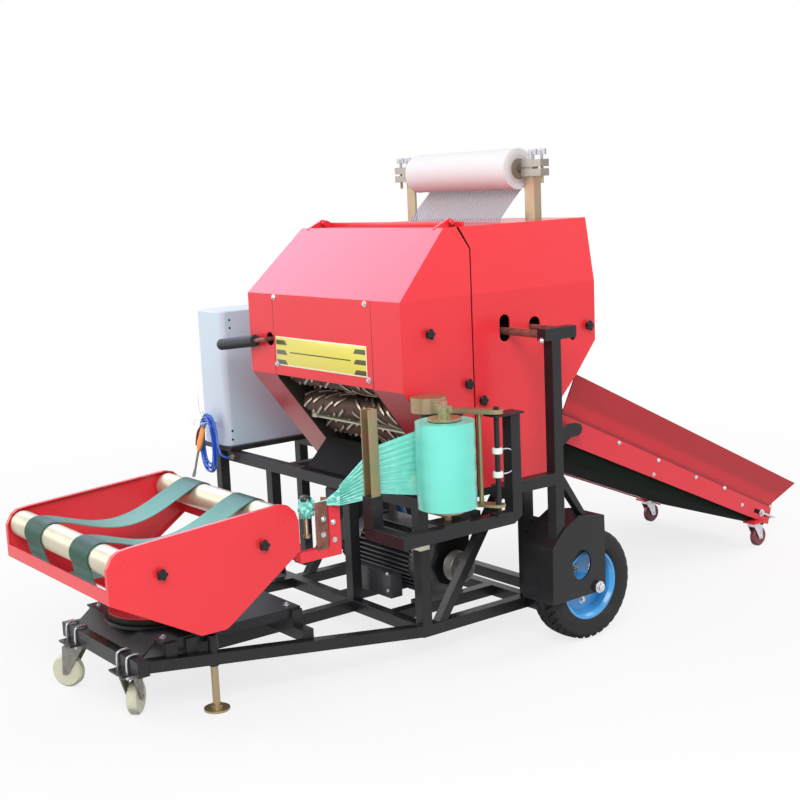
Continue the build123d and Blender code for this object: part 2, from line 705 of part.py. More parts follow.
with BuildPart(machine) as film_spindle:
    round_z(film_x, film_y, (beam_top + 8, spindle_top), spindle_r)
    round_z(film_x, film_y, (film_low - 13, film_low - 1), core_r + 10)
    round_z(film_x, film_y, (film_low - 1, film_low + 16), core_r - fit)
    round_z(film_x, film_y, (film_top - 16, film_top + 1), core_r - fit)
    round_z(film_x, film_y, (film_top + 1, film_top + 8), core_r + 10)
    round_z(film_x, film_y, (film_top + 8, film_top + 36), spindle_r + 7)
    bar((film_x - 30, film_x + 30), (film_y - 4, film_y + 4), (film_top + 24, film_top + 44))
keep(film_spindle, "film_spindle")

with BuildPart(machine) as film_roll:
    round_z(film_x, film_y, (film_low, film_top), film_r)
    round_z(film_x, film_y, (film_low, film_top), core_r, Mode.SUBTRACT)
keep(film_roll, "film_roll")

with BuildPart(machine) as film_guide:
    with BuildSketch(level(guide_low)):
        with Locations((guide_x, guide_y)):
            Rectangle(guide_width, guide_depth)
        with Locations((guide_x, guide_y - sheet)):
            Rectangle(guide_width - 2 * sheet, guide_depth, mode=Mode.SUBTRACT)
    extrude(amount=guide_top - guide_low)
keep(film_guide, "film_guide")

with BuildPart(machine) as prestretch_unit:
    half = (-arm_way[1] * arm_half, arm_way[0] * arm_half)
    for low, high, reach in ((arm_top, arm_top + 12, far_roller), (arm_low, arm_low + 8, far_roller + 10)):
        end = along_arm(reach)
        arm = [(arm_pin_x + half[0], arm_pin_y + half[1]), (end[0] + half[0], end[1] + half[1]),
               (end[0] - half[0], end[1] - half[1]), (arm_pin_x - half[0], arm_pin_y - half[1])]
        plate_z(arm, (low, high))
        round_z(arm_pin_x, arm_pin_y, (low, high), arm_half)
    round_z(*along_arm(far_roller), (arm_low, arm_low + 8), 24)
    round_z(*along_arm(far_roller), (arm_top, gear_case_top), gear_case_r)
    round_z(*along_arm(52), (arm_low + 7, arm_top + 1), 7)
    for distance in (near_roller, far_roller):
        round_z(*along_arm(distance), (arm_low - 4, arm_low + 12), stretch_shaft + fit, Mode.SUBTRACT)
        round_z(*along_arm(distance), (arm_top - 6, arm_top + 10), stretch_shaft + fit, Mode.SUBTRACT)
    round_z(arm_pin_x, arm_pin_y, (arm_low - 4, arm_top + 16), arm_pin_r + fit, Mode.SUBTRACT)
keep(prestretch_unit, "prestretch_unit")

for name, distance in (("prestretch_roller_inner", near_roller), ("prestretch_roller_outer", far_roller)):
    with BuildPart(machine) as stretch_roller:
        round_z(*along_arm(distance), (arm_low + 14, arm_top - 6), stretch_r)
        round_z(*along_arm(distance), (arm_low, arm_top + 9), stretch_shaft)
    keep(stretch_roller, name)

# wrap table

side_outline = [(table_front, 402), (table_front, 500), (-925, 530), (-905, 542), (-873, 546), (-401, 577),
                (-375, 570), (-352, 548), (table_rear, 519), (table_rear, 431), (-588, table_floor + 5),
                (-600, table_floor), (-677, table_floor)]
with BuildPart(machine) as table_frame:
    for way in (-1, 1):
        plate_x(side_outline, (way * table_half, way * (table_half - table_lip)))
        hollow = way * table_half - way * sheet
        with BuildSketch(side(min(hollow, hollow - way * table_lip))):
            Polygon(*side_outline, align=None)
            offset(amount=-sheet, kind=Kind.INTERSECTION, mode=Mode.REPLACE)
        extrude(amount=table_lip, mode=Mode.SUBTRACT)
    inner = (-table_half + 1, table_half - 1)
    bar(inner, (table_y - tube, table_y + tube + 4), (table_floor, table_floor + plate))
    bar(inner, (table_front, table_front + sheet), (402, 440))
    bar(inner, (table_rear - sheet, table_rear), (431, 519))
    round_z(0, table_y, (deck_top + 11, table_floor + overlap), disc_r - lug)
    round_z(0, table_y, (deck_top, table_floor + lug), pivot_pin + fit, Mode.SUBTRACT)
    for y, z in (front_drum, rear_drum):
        round_x((-table_half - 10, table_half + 10), y, z, shaft_r + fit, Mode.SUBTRACT)
keep(table_frame, "table_frame")

for name, (y, z) in (("table_drum_front", front_drum), ("table_drum_rear", rear_drum)):
    with BuildPart(machine) as table_drum:
        round_x((drum_end - table_half, table_half - drum_end), y, z, drum_r)
        round_x((-table_half, table_half), y, z, shaft_r)
    keep(table_drum, name)


def belt_path():
    """Middle of a belt: round the rear drum, sagging to the front drum, then hanging under it."""
    r = drum_r + belt_thick / 2 + 0.7
    points = []

    def round_drum(drum, start, stop):
        for angle in range(start, stop, 16):
            points.append((drum[0] + r * cos(radians(angle)), drum[1] + r * sin(radians(angle))))

    round_drum(rear_drum, -60, 100)
    first = (rear_drum[0] + r * cos(radians(100)), rear_drum[1] + r * sin(radians(100)))
    last = (front_drum[0] + r * cos(radians(72)), front_drum[1] + r * sin(radians(72)))
    for k in range(13):
        t = k / 12
        dip = belt_sag * sin(pi * t) ** 1.3
        points.append((first[0] + (last[0] - first[0]) * t, first[1] + (last[1] - first[1]) * t - dip))
    round_drum(front_drum, 88, 215)
    start = points[-1]
    for k in range(1, 10):
        t = k / 10
        points.append((start[0] + 300 * t ** 1.6, start[1] - 125 * sin(pi * min(t * 0.9, 0.5))))
    return points


def ribbon(path, thick):
    """The closed outline of a strip with its middle on an open path."""
    rims = ([], [])
    for i, (a, b) in enumerate(path):
        p = path[max(i - 1, 0)]
        q = path[min(i + 1, len(path) - 1)]
        run = hypot(q[0] - p[0], q[1] - p[1])
        half = thick / 2 / run
        rims[0].append((a + (q[1] - p[1]) * half, b - (q[0] - p[0]) * half))
        rims[1].append((a - (q[1] - p[1]) * half, b + (q[0] - p[0]) * half))
    return rims[0] + rims[1][::-1]


with BuildPart(machine) as table_belts:
    for x in (belt_left, belt_right):
        plate_x(ribbon(belt_path(), belt_thick), (x, x + belt_width))
keep(table_belts, "table_belts")

with BuildPart(machine) as film_clamp:
    face = (table_half - plate, table_half - overlap)
    bar((table_half - 56, table_half - sheet), (table_rear, table_rear + 4.5), (395, 450))
    plate_x([(table_rear, 392), (table_rear + 145, 392), (table_rear + 145, 552), (table_rear + 105, 552),
             (table_rear + 105, 424), (table_rear, 424)], face)
    bar((table_half - 28, face[0]), (table_rear + 101, table_rear + 109), (410, 566))
    bar((table_half - 46, face[0]), (table_rear + overlap, table_rear + 109), (398, 416))
    for z in (440, 530):
        round_x((face[0] - 8, table_half + 2), table_rear + 125, z, 7)
keep(film_clamp, "film_clamp")

# net stand

with BuildPart(machine) as net_stand:
    for way in (-1, 1):
        inner = way * (net_post - post_half)
        bar((inner, way * (net_post + post_half)), (net_y - sheet, net_y + sheet), (crown, net_z - 24))
        bar((way * (net_post + post_half - 5), way * (net_post + post_half)), (net_y - sheet, net_y + 26),
            (crown, net_z - 24))
        for low in (net_z - 26, net_z + 3):
            bar((inner, way * (net_post + 69)), (net_y - 18, net_y + 18), (low, low + 23))
        bar((inner, way * (net_post + 26)), (net_y - 14, net_y + 14), (net_z - 4, net_z + 4))
        for x in (net_post + 16, net_post + 56):
            round_z(way * x, net_y, (net_z - 48, net_z + 52), 5)
            bar((way * (x - 18), way * (x + 18)), (net_y - 3, net_y + 3), (net_z + 40, net_z + 58))
    round_x((-net_post, net_post), net_y, net_z, net_shaft)
keep(net_stand, "net_stand")

with BuildPart(machine) as net_roll:
    round_x((-net_half, net_half), net_y, net_z, net_r)
    round_x((-net_half - 1, net_half + 1), net_y, net_z, net_shaft + fit, Mode.SUBTRACT)
keep(net_roll, "net_roll")

# jacks and casters

for name, way in (("jack_leg_right", 1), ("jack_leg_left", -1)):
    with BuildPart(machine) as jack_leg:
        round_z(way * jack_x, jack_y, (0, plate), jack_foot)
        round_z(way * jack_x, jack_y, (plate - 1, plate + 10), 1.6 * jack_r)
        round_z(way * jack_x, jack_y, (plate, jack_top), jack_r)
    keep(jack_leg, name)

caster_axle = 5.0
caster_top = 96.0
caster_table = (
    # name, swivel x, swivel y, way of the trail, trail, wheel radius, wheel width, top
    ("front_caster_right", 160, nose_y + 16, 135, 40, 50, 30, nose_low - plate),
    ("front_caster_left", -180, nose_y + 16, 215, 40, 50, 30, nose_low - plate),
    ("tail_caster_right", trough_half, tail_y - 22, 90, 22, tail_r, 22, caster_top),
    ("tail_caster_left", -trough_half, tail_y - 22, 90, 22, tail_r, 22, caster_top),
)
for name, x, y, angle, trail, r, width, top in caster_table:
    a = radians(angle)
    swivel = Plane(origin=(mid_x + x, mid_y + y, 0), x_dir=(cos(a), sin(a), 0), z_dir=(0, 0, 1))
    gap = width / 2 + sheet
    with BuildPart(swivel) as fork:
        round_z(0, 0, (top - 12, top), 0.6 * r)
        bar((-0.5 * r, trail + 4), (-gap - 3, gap + 3), (top - 15, top - 11))
        for way in (-1, 1):
            cheek = Plane(origin=swivel.from_local_coords(Vector(0, way * gap, 0)),
                          x_dir=swivel.x_dir, z_dir=-swivel.y_dir)
            with BuildSketch(cheek):
                Polygon((-0.5 * r, top - 12), (trail + 4, top - 12), (trail + 9, r - 8), (trail - 9, r - 8),
                        align=None)
            extrude(amount=-3 * way)
        round_y(trail, (-gap - 5, gap + 5), r, caster_axle)
    keep(fork, name + "_fork")
    with BuildPart(swivel) as wheel:
        round_y(trail, (-width / 2, width / 2), r, r)
        chamfer(wheel.edges().filter_by(GeomType.CIRCLE), 0.12 * r)
        round_y(trail, (-width / 2 - 1, width / 2 + 1), r, caster_axle + fit, Mode.SUBTRACT)
    keep(wheel, name + "_wheel")

# conveyor

wall_head = (781.0, 663.0)
wall_foot = (1904.0, 152.0)
wall_side = [wall_head, wall_foot, (1880, 72), (778, 569)]
head_rise = (40.0, 133.0)
foot_rise = (104.0, 66.0)
with BuildPart(machine) as conveyor_trough:
    inside = trough_half - trough_wall
    for way in (-1, 1):
        plate_x(wall_side, (way * inside, way * trough_half))
        for (y, z), rise in ((wall_head, head_rise), (wall_foot, foot_rise)):
            end = Plane(origin=(mid_x, mid_y + y, z), x_dir=(1, 0, 0),
                        z_dir=Vector(1, 0, 0).cross(Vector(0, *rise)))
            with BuildSketch(end):
                Polygon((way * inside, -2), (way * trough_half, -2),
                        (way * (trough_half + trough_flare), hypot(*rise)),
                        (way * (inside + trough_flare), hypot(*rise)), align=None)
        loft(ruled=True)
        bar((way * (trough_half - 23), way * (trough_half + trough_flare)), (tail_y - 60, tail_y + 12),
            (caster_top, caster_top + plate))
        round_x((way * (inside - 1), way * (trough_half + 1)), pivot_y, pivot_z, 22)
        round_x((way * (inside - 7), way * (trough_half + 9)), pivot_y, pivot_z, pivot_r + fit, Mode.SUBTRACT)
    floor = (-inside - 1, inside + 1)
    plate_x([(1880, 72), wall_foot, (1900, 154), (1874, 75)], floor)
    plate_x([(834, 584.6), (1860, 120), (1860, 124), (834, 588.6)], floor)
    plate_x([bed_top, bed_foot, (bed_foot[0] - 1.6, bed_foot[1] - sheet),
             (bed_top[0] - 1.6, bed_top[1] - sheet)], floor)
keep(conveyor_trough, "conveyor_trough")

belt_edge = inside - 5
with BuildPart(machine) as conveyor_belt:
    plate_x([bed_top, bed_foot, (bed_foot[0], bed_foot[1] + 6), (bed_top[0], bed_top[1] + 6)],
            (-belt_edge, belt_edge))
keep(conveyor_belt, "conveyor_belt")

# film and netting


def curtain(a, b, low, high, thick):
    """A thin upright sheet between two points in plan."""
    run = hypot(b[0] - a[0], b[1] - a[1])
    way = ((b[0] - a[0]) / run, (b[1] - a[1]) / run, 0)
    upright = Plane(origin=(mid_x + a[0], mid_y + a[1], 0), x_dir=way, z_dir=(way[1], -way[0], 0))
    with BuildSketch(upright) as face:
        Polygon((0, low[0]), (run, low[1]), (run, high[1]), (0, high[0]), align=None)
    extrude(face.sketch, amount=thick)


web_off = (film_x - 75, film_y + 52)
web_guide = (guide_x - guide_width / 2 - seat, guide_y + guide_depth / 2 + seat)
web_end = (table_half + 22, -210.0)
with BuildPart(machine) as film_web:
    curtain(web_off, web_guide, (556, guide_low + 2), (776, 741), 2)
    curtain((web_guide[0] + 1, web_guide[1] + 1), web_end, (guide_low + 2, 548), (738, 566), 2)
keep(film_web, "film_web")

with BuildPart(machine) as netting:
    plate_x([(net_y - 72, net_z - 80), (net_y - 76, crown + seat), (net_y - 80, crown + seat),
             (net_y - 76, net_z - 80)], (-245, 245))
keep(netting, "netting")

# air line

coil_y = 18.0
coil_z = 542.0
coil_wide = 116.0
coil_tall = 206.0
coil_band = 22.0
lead_turn = (hose_exit[0], coil_y, hose_exit[1])
lead_way = Vector(-0.437, 0, 0.9).normalized()
lead_end = Vector(*lead_turn) + lead_way * 60


def machine_point(point):
    return Vector(*point) + Vector(mid_x, mid_y, 0)


with BuildPart(machine) as air_fitting:
    round_y(hose_exit[0], (frame_front - 14, frame_front), hose_exit[1], 6.5)
    round_y(hose_exit[0], (frame_front - 5, frame_front), hose_exit[1], 10)
keep(air_fitting, "air_fitting")

with BuildPart() as air_hose_lead:
    with BuildLine():
        points = [machine_point((hose_exit[0], frame_front - 14, hose_exit[1])), machine_point(lead_turn),
                  machine_point(lead_end)]
        FilletPolyline(*points, radius=0.45 * (frame_front - 14 - coil_y))
    with BuildSketch(Plane(origin=points[0], z_dir=(0, -1, 0))):
        Circle(hose_r)
    sweep()
keep(air_hose_lead, "air_hose_lead")

with BuildPart(machine) as air_hose_coil:
    with BuildSketch(across(coil_y + coil_thick / 2)):
        with Locations((peg[0], coil_z)):
            RectangleRounded(coil_wide, coil_tall, coil_wide / 2 - 1)
            RectangleRounded(coil_wide - 2 * coil_band, coil_tall - 2 * coil_band,
                             coil_wide / 2 - coil_band - 1, mode=Mode.SUBTRACT)
    extrude(amount=coil_thick)
    chamfer(air_hose_coil.edges().filter_by(Plane.XZ), 5)
with BuildPart(Plane(origin=machine_point(lead_end), z_dir=lead_way)) as coil_tail:
    Cylinder(hose_r, 75, align=(Align.CENTER, Align.CENTER, Align.MIN))
with BuildPart() as whole_coil:
    add(air_hose_coil.part)
    add(coil_tail.part)
keep(whole_coil, "air_hose_coil")

with BuildPart(machine) as air_gun:
    plate_y([(-800, 611), (-783, 606), (-786, 566), (-800, 548), (-822, 520), (-850, 470), (-868, 438),
             (-884, 405), (-892, 408), (-884, 440), (-868, 482), (-846, 540), (-824, 588)],
            (coil_y - coil_thick / 2 - 18, coil_y - coil_thick / 2))
    fillet(air_gun.edges().filter_by(Axis.Y), 3)
keep(air_gun, "air_gun")
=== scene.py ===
# %% [markdown]
# A small trailed round baler with a film wrapper
#
# The CAD model gives the frame, the hood, the wheels and every moving body. This script
# gives those pieces their finish and adds what is thin, soft or small: the air line, the
# stretch film, the net, the knobs, bolts, belts and tyre tread. Each step is a short cell,
# and the sentences before it say what the real piece is and how it could be made.

# %% The frame
import json

import bmesh
import bpy
import numpy as np
from mathutils import Matrix, Vector

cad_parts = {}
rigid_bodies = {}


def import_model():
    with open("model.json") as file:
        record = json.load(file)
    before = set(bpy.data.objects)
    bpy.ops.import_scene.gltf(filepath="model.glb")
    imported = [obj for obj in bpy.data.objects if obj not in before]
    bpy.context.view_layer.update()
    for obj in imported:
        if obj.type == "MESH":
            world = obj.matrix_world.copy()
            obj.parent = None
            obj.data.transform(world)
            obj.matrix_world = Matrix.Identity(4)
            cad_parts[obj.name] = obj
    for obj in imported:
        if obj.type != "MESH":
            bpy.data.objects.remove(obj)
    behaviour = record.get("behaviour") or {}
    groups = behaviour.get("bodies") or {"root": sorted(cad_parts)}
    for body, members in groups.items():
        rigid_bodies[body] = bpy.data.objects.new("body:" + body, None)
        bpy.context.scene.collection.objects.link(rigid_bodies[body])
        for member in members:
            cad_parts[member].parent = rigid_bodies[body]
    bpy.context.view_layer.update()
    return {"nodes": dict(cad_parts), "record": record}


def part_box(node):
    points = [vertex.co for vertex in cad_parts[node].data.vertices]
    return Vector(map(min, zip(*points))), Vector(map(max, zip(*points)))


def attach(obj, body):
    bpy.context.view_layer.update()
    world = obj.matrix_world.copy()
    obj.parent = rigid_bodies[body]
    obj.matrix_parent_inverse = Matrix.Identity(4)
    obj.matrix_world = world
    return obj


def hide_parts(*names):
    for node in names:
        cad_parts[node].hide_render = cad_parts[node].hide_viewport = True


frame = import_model()
nodes = frame["nodes"]

# %% [markdown]
# The machine was measured from the middle of its baling chamber: x to the film stand,
# y back to the conveyor, z up, in millimetres. The CAD model puts its origin under the
# middle of the whole machine instead, so one small function moves numbers across.

# %% From machine millimetres to the scene
SHIFT = np.array([99.0, -532.5, 0.0])


def spot(*xyz):
    """Machine millimetres to scene metres: (p + SHIFT) / 1000, for one point or an array."""
    p = np.asarray(xyz[0] if len(xyz) == 1 else xyz, dtype=float)
    return (p + SHIFT) / 1000


def machine_middle(node):
    """The middle of a CAD node's box, back in machine millimetres."""
    return np.mean(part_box(node), axis=0) * 1000 - SHIFT


# %% [markdown]
# The photograph's camera stands 1.46 m high, off the film stand's corner. Its place and
# turn came from matching square edges of the hood and the frame, so the three direction
# vectors are written out: right, up and backward make the columns of its matrix.

# %% Camera
FOCAL, CENTRE, WIDTH = 1343.54, (356.47, 411.23), 800  # of the picture, in pixels
right = Vector((0.58867, 0.80693, -0.04832))
up = Vector((-0.10730, 0.13725, 0.98471))
turn = Matrix((right, up, right.cross(up))).transposed()
lens = bpy.data.cameras.new("camera")
lens.sensor_width = 36.0
lens.lens = FOCAL * lens.sensor_width / WIDTH
lens.shift_x = (WIDTH / 2 - CENTRE[0]) / WIDTH
lens.shift_y = (CENTRE[1] - WIDTH / 2) / WIDTH
lens.clip_start = 0.05
lens.clip_end = 60
camera = bpy.data.objects.new("camera", lens)
place = Matrix.Translation(Vector(spot(3478.1, -2366.2, 1460.2)))
camera.matrix_world = place @ turn.to_4x4()
bpy.context.scene.collection.objects.link(camera)
bpy.context.scene.camera = camera
bpy.context.scene.view_settings.view_transform = "Standard"
print("camera at", tuple(round(v, 3) for v in camera.location))

# %% [markdown]
# The air hose is the one free hose: 8 mm, from a brass fitting under the cabinet's beam to
# a blow gun. It hangs in five loose turns on a peg of the cabinet. Its line is a smooth
# NURBS curve: a short lead, then a loop of points that winds inward at the back, hops to
# the front and winds outward, so that no two turns touch. The turns hang tight together at
# the peg and fan out below it, as a hose does that nobody tied. The points carry the hose's
# radius and the bevel is 1 m, so that the curve's own box is the hose's box.

# %% The air hose's line
HOSE = 8.0
COIL_X, COIL_Z = -793, 542
LEAD = [(-700, 53, 497), (-700, 18, 497), (-726.2, 18, 551.0)]
TO_GUN = [(-741, 7, 577), (-734, -1, 601), (-737, -1, 619), (-751, -1, 627), (-768, -1, 622),
          (-778, -1, 613)]


def hanging_turns(turns=5, inward=3, each=16):
    """Points of the turns. A turn is a circle of half-width a whose halves are pulled apart
    to the half-height b: x = a cos t, z = a sin t + (b - a)(1.5 sin t - 0.5 sin^3 t). The
    half-width falls by 8.7 mm a turn while the hose winds inward and then grows again."""
    made = np.arange(turns * each - 1) / each
    angle = 2 * np.pi * made + np.radians(20)
    ease = np.clip((made - inward + 0.3) / 0.6, 0, 1)
    front = ease * ease * (3 - 2 * ease)
    offset = 13 - 8.7 * made + 17.4 * np.clip(made - inward, 0, None) + 1.5 * front
    s = np.sin(angle)
    a = 47 + offset + 1.5 * np.sin(2.3 * made)
    b = np.where(s > 0, 98.6 + offset, 95 + 1.32 * offset + 4 * np.sin(1.7 * made))
    x = COIL_X + a * np.cos(angle) + 5 * front * np.clip(-s, 0, 1)
    z = COIL_Z + a * s + (b - a) * (1.5 * s - 0.5 * s ** 3)
    return np.stack([x, 23.5 - 10.5 * front, z], -1)


route = spot(np.vstack([LEAD, hanging_turns(), TO_GUN]))
curve = bpy.data.curves.new("air_hose", "CURVE")
curve.dimensions = "3D"
line = curve.splines.new("NURBS")
line.points.add(len(route) - 1)
line.points.foreach_set("co", np.hstack([route, np.ones((len(route), 1))]).ravel())
line.points.foreach_set("radius", np.full(len(route), HOSE / 2000))
line.order_u = 3
line.use_endpoint_u = True
line.resolution_u = 6
hose = bpy.data.objects.new("air_hose", curve)
bpy.context.scene.collection.objects.link(hose)
bare = bpy.data.meshes.new_from_object(hose)
steps = np.zeros(len(bare.vertices) * 3)
bare.vertices.foreach_get("co", steps)
steps = steps.reshape(-1, 3)
bpy.data.meshes.remove(bare)
curve.bevel_depth = 1.0
curve.bevel_resolution = 3
curve.use_fill_caps = True
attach(hose, "chassis")
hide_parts("air_hose_coil", "air_hose_lead")

# %% [markdown]
# Every new rigid piece is one or more grids of points: rows by columns, worked out with
# numpy as whole arrays. One function joins the grids into a mesh, closes seams and poles
# by merging doubles, turns the faces outward and hands the piece to its body.

# %% Grids of points into a piece
finishes = {}


def knit(name, grids, slot, body, stands_for=(), crease=35.0, finish_name=None):
    """One mesh from grids of (points in machine mm, wrap, optional mark per point)."""
    points, quads, marks, first = [], [], [], 0
    for grid, wrap, *mark in grids:
        rows, columns = grid.shape[:2]
        index = np.arange(rows * columns).reshape(rows, columns) + first
        if wrap[0]:
            index = np.vstack([index, index[:1]])
        if wrap[1]:
            index = np.hstack([index, index[:, :1]])
        corners = [index[:-1, :-1], index[:-1, 1:], index[1:, 1:], index[1:, :-1]]
        quads.append(np.stack(corners, -1).reshape(-1, 4))
        points.append(grid.reshape(-1, 3))
        marks.append(np.ravel(mark[0]) if mark else np.zeros(rows * columns))
        first += rows * columns
    mesh = bpy.data.meshes.new(name)
    mesh.from_pydata(spot(np.vstack(points)).tolist(), [], np.vstack(quads).tolist())
    mesh.attributes.new("mark", "FLOAT", "POINT").data.foreach_set("value", np.concatenate(marks))
    shape = bmesh.new()
    shape.from_mesh(mesh)
    bmesh.ops.remove_doubles(shape, verts=shape.verts, dist=2e-6)
    bmesh.ops.recalc_face_normals(shape, faces=shape.faces)
    shape.to_mesh(mesh)
    shape.free()
    mesh.shade_smooth()
    mesh.set_sharp_from_angle(angle=np.radians(crease))
    thing = bpy.data.objects.new(name, mesh)
    bpy.context.scene.collection.objects.link(thing)
    thing["wants"] = finish_name or slot
    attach(thing, body)
    if stands_for:
        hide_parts(*stands_for)
    print(name, len(mesh.polygons), "faces on", body)
    return thing


# %% [markdown]
# Four kinds of grid make nearly everything here: a profile turned round an axis, a section
# carried along a path, a block with rounded edges, and a flat panel.

# %% Turned, carried, rounded and flat grids
X, Y, Z = np.eye(3)


def around(axis):
    """An axis as a unit vector, and two unit vectors square to it."""
    axis = np.asarray(axis, float) / np.linalg.norm(axis)
    aid = X if abs(axis[2]) > 0.9 else Z
    first = np.cross(aid, axis)
    first /= np.linalg.norm(first)
    return axis, first, np.cross(axis, first)


def turned(profile, centre, axis=X, sides=48, lobes=0, start=0.0):
    """Rows of (along, radius, optional lobe depth): centre + axis * along + radius *
    (1 + depth cos(lobes t)) * (first cos t + second sin t)."""
    profile = np.asarray(profile, float)
    axis, first, second = around(axis)
    t = 2 * np.pi * np.arange(sides) / sides + start
    depth = profile[:, 2:3] if profile.shape[1] > 2 else 0
    radius = (profile[:, 1:2] * (1 + depth * np.cos(lobes * t)))[..., None]
    ring = first * np.cos(t)[:, None] + second * np.sin(t)[:, None]
    return centre + axis * profile[:, 0][:, None, None] + radius * ring, (False, True)


def carried(path, radius, sides=10, aid=Z, flat=1.0):
    """A ring carried along a path: p + r (e1 cos t + flat e2 sin t), closed at both ends.
    The radius is one number, or several spread evenly over the path."""
    path = np.asarray(path, float)
    radius = np.atleast_1d(radius)
    radius = np.interp(np.linspace(0, 1, len(path)), np.linspace(0, 1, len(radius)), radius)
    run = np.gradient(path, axis=0)
    run /= np.linalg.norm(run, axis=1, keepdims=True)
    e1 = np.cross(run, aid)
    e1 /= np.linalg.norm(e1, axis=1, keepdims=True)
    e2 = np.cross(run, e1)
    t = 2 * np.pi * np.arange(sides) / sides
    cos, sin = np.cos(t)[:, None], np.sin(t)[:, None]
    body = path[:, None] + radius[:, None, None] * (e1[:, None] * cos + flat * e2[:, None] * sin)
    ends = [np.repeat(p[None, None], sides, 1) for p in (path[0], path[-1])]
    return np.vstack([ends[0], body, ends[1]]), (False, True)


def eased(points, passes=3):
    """Cuts each corner at a quarter and three quarters of its runs, a few times over."""
    p = np.asarray(points, float)
    for _ in range(passes):
        a, b = p[:-1], p[1:]
        cut = np.stack([0.75 * a + 0.25 * b, 0.25 * a + 0.75 * b], 1).reshape(-1, 3)
        p = np.vstack([p[:1], cut, p[-1:]])
    return p


def block(low, high, r=1.0):
    """A box with rounded edges: a ball of radius r cut in eight, each eighth moved to a
    corner of the box less r, and closed by a middle point above and below."""
    low, high = np.asarray(low, float), np.asarray(high, float)
    half = (high - low) / 2
    t = np.radians([0, 45, 90, 90, 135, 180, 180, 225, 270, 270, 315, 360])
    corner = np.radians(np.repeat([45, 135, 225, 315], 3))
    f = np.radians([-90, -45, 0, 0, 45, 90])
    tall = np.array([-1, -1, -1, 1, 1, 1])
    ones = np.ones((6, 12))
    level = np.cos(f)[:, None]
    ball = np.stack([level * np.cos(t), level * np.sin(t), np.sin(f)[:, None] * ones], -1)
    away = np.stack([ones * np.sign(np.cos(corner)), ones * np.sign(np.sin(corner)),
                     tall[:, None] * ones], -1)
    body = away * (half - r) + ball * r
    lids = [np.repeat(np.array([[[0, 0, s * half[2]]]]), 12, 1) for s in (-1, 1)]
    return np.vstack([lids[0], body, lids[1]]) + (low + high) / 2, (False, True)


def panel(outline, origin, e1, e2, thick):
    """A flat plate with a convex outline: middle, rim, rim moved by the thickness, middle."""
    outline = np.asarray(outline, float)
    rim = np.asarray(origin, float) + outline[:, :1] * e1 + outline[:, 1:] * e2
    middle = np.repeat(rim.mean(0)[None], len(rim), 0)
    through = np.cross(e1, e2) * thick
    return np.stack([middle, rim, rim + through, middle + through]), (False, True)


def hex_bolts(places, way, size=9.0):
    """At each place a round washer, and on it a head of six sides with a chamfered rim."""
    lift, top = 1.6, 1.6 + size * 0.6
    washer = [(0, 0), (0, size * 0.95), (lift, size * 0.95), (lift, 0)]
    head = [(lift, size * 0.62), (lift + size * 0.5, size * 0.62), (top, size * 0.5), (top, 0)]
    grids = []
    for place in np.asarray(places, float):
        grids.append(turned(washer, place, way, 16))
        grids.append(turned(head, place, way, 6, start=float(place.sum())))
    return grids


print("grids: turned, carried, eased, block, panel, hex_bolts")

# %% [markdown]
# Shader maths reads best as maths. This small class wraps a node's output socket, so an
# ordinary expression such as 1 - mask * 0.3 adds the Math nodes that it needs. Colours
# go through Mix nodes, because a Math node would turn them grey.

# %% Writing shaders as expressions
def maths(kind, flip=False):
    """A method that adds the Math node of that kind, its two inputs in turn or flipped."""
    return lambda self, other: self.math(kind, other, flip)


class Wire:
    """A socket of one material; arithmetic adds Math nodes, and | takes the greater of two."""

    def __init__(self, paint, socket):
        self.paint = paint
        self.socket = socket

    def math(self, kind, other=None, flip=False):
        pair = [self, other] if other is not None else [self]
        inputs = dict(enumerate(pair[::-1] if flip else pair))
        return self.paint.add("Math", {"operation": kind}, inputs)

    __add__ = __radd__ = maths("ADD")
    __mul__ = __rmul__ = maths("MULTIPLY")
    __sub__, __rsub__ = maths("SUBTRACT"), maths("SUBTRACT", True)
    __pow__, __or__ = maths("POWER"), maths("MAXIMUM")

    def __abs__(self):
        return self.math("ABSOLUTE")

    def rise(self, low, high):
        """0 below low, 1 above high, smooth between; high below low turns it round."""
        return self.paint.add("MapRange", {"interpolation_type": "SMOOTHSTEP"},
                              {"Value": self, "From Min": low, "From Max": high})

    def near(self, middle, half, soft):
        """1 within half of the middle, falling to 0 over soft."""
        return abs(self - middle).rise(half + soft, half)

    def wave(self, pitch):
        """A sine of that pitch, from 0 to 1."""
        return (self * (2 * np.pi / pitch)).math("SINE") * 0.5 + 0.5


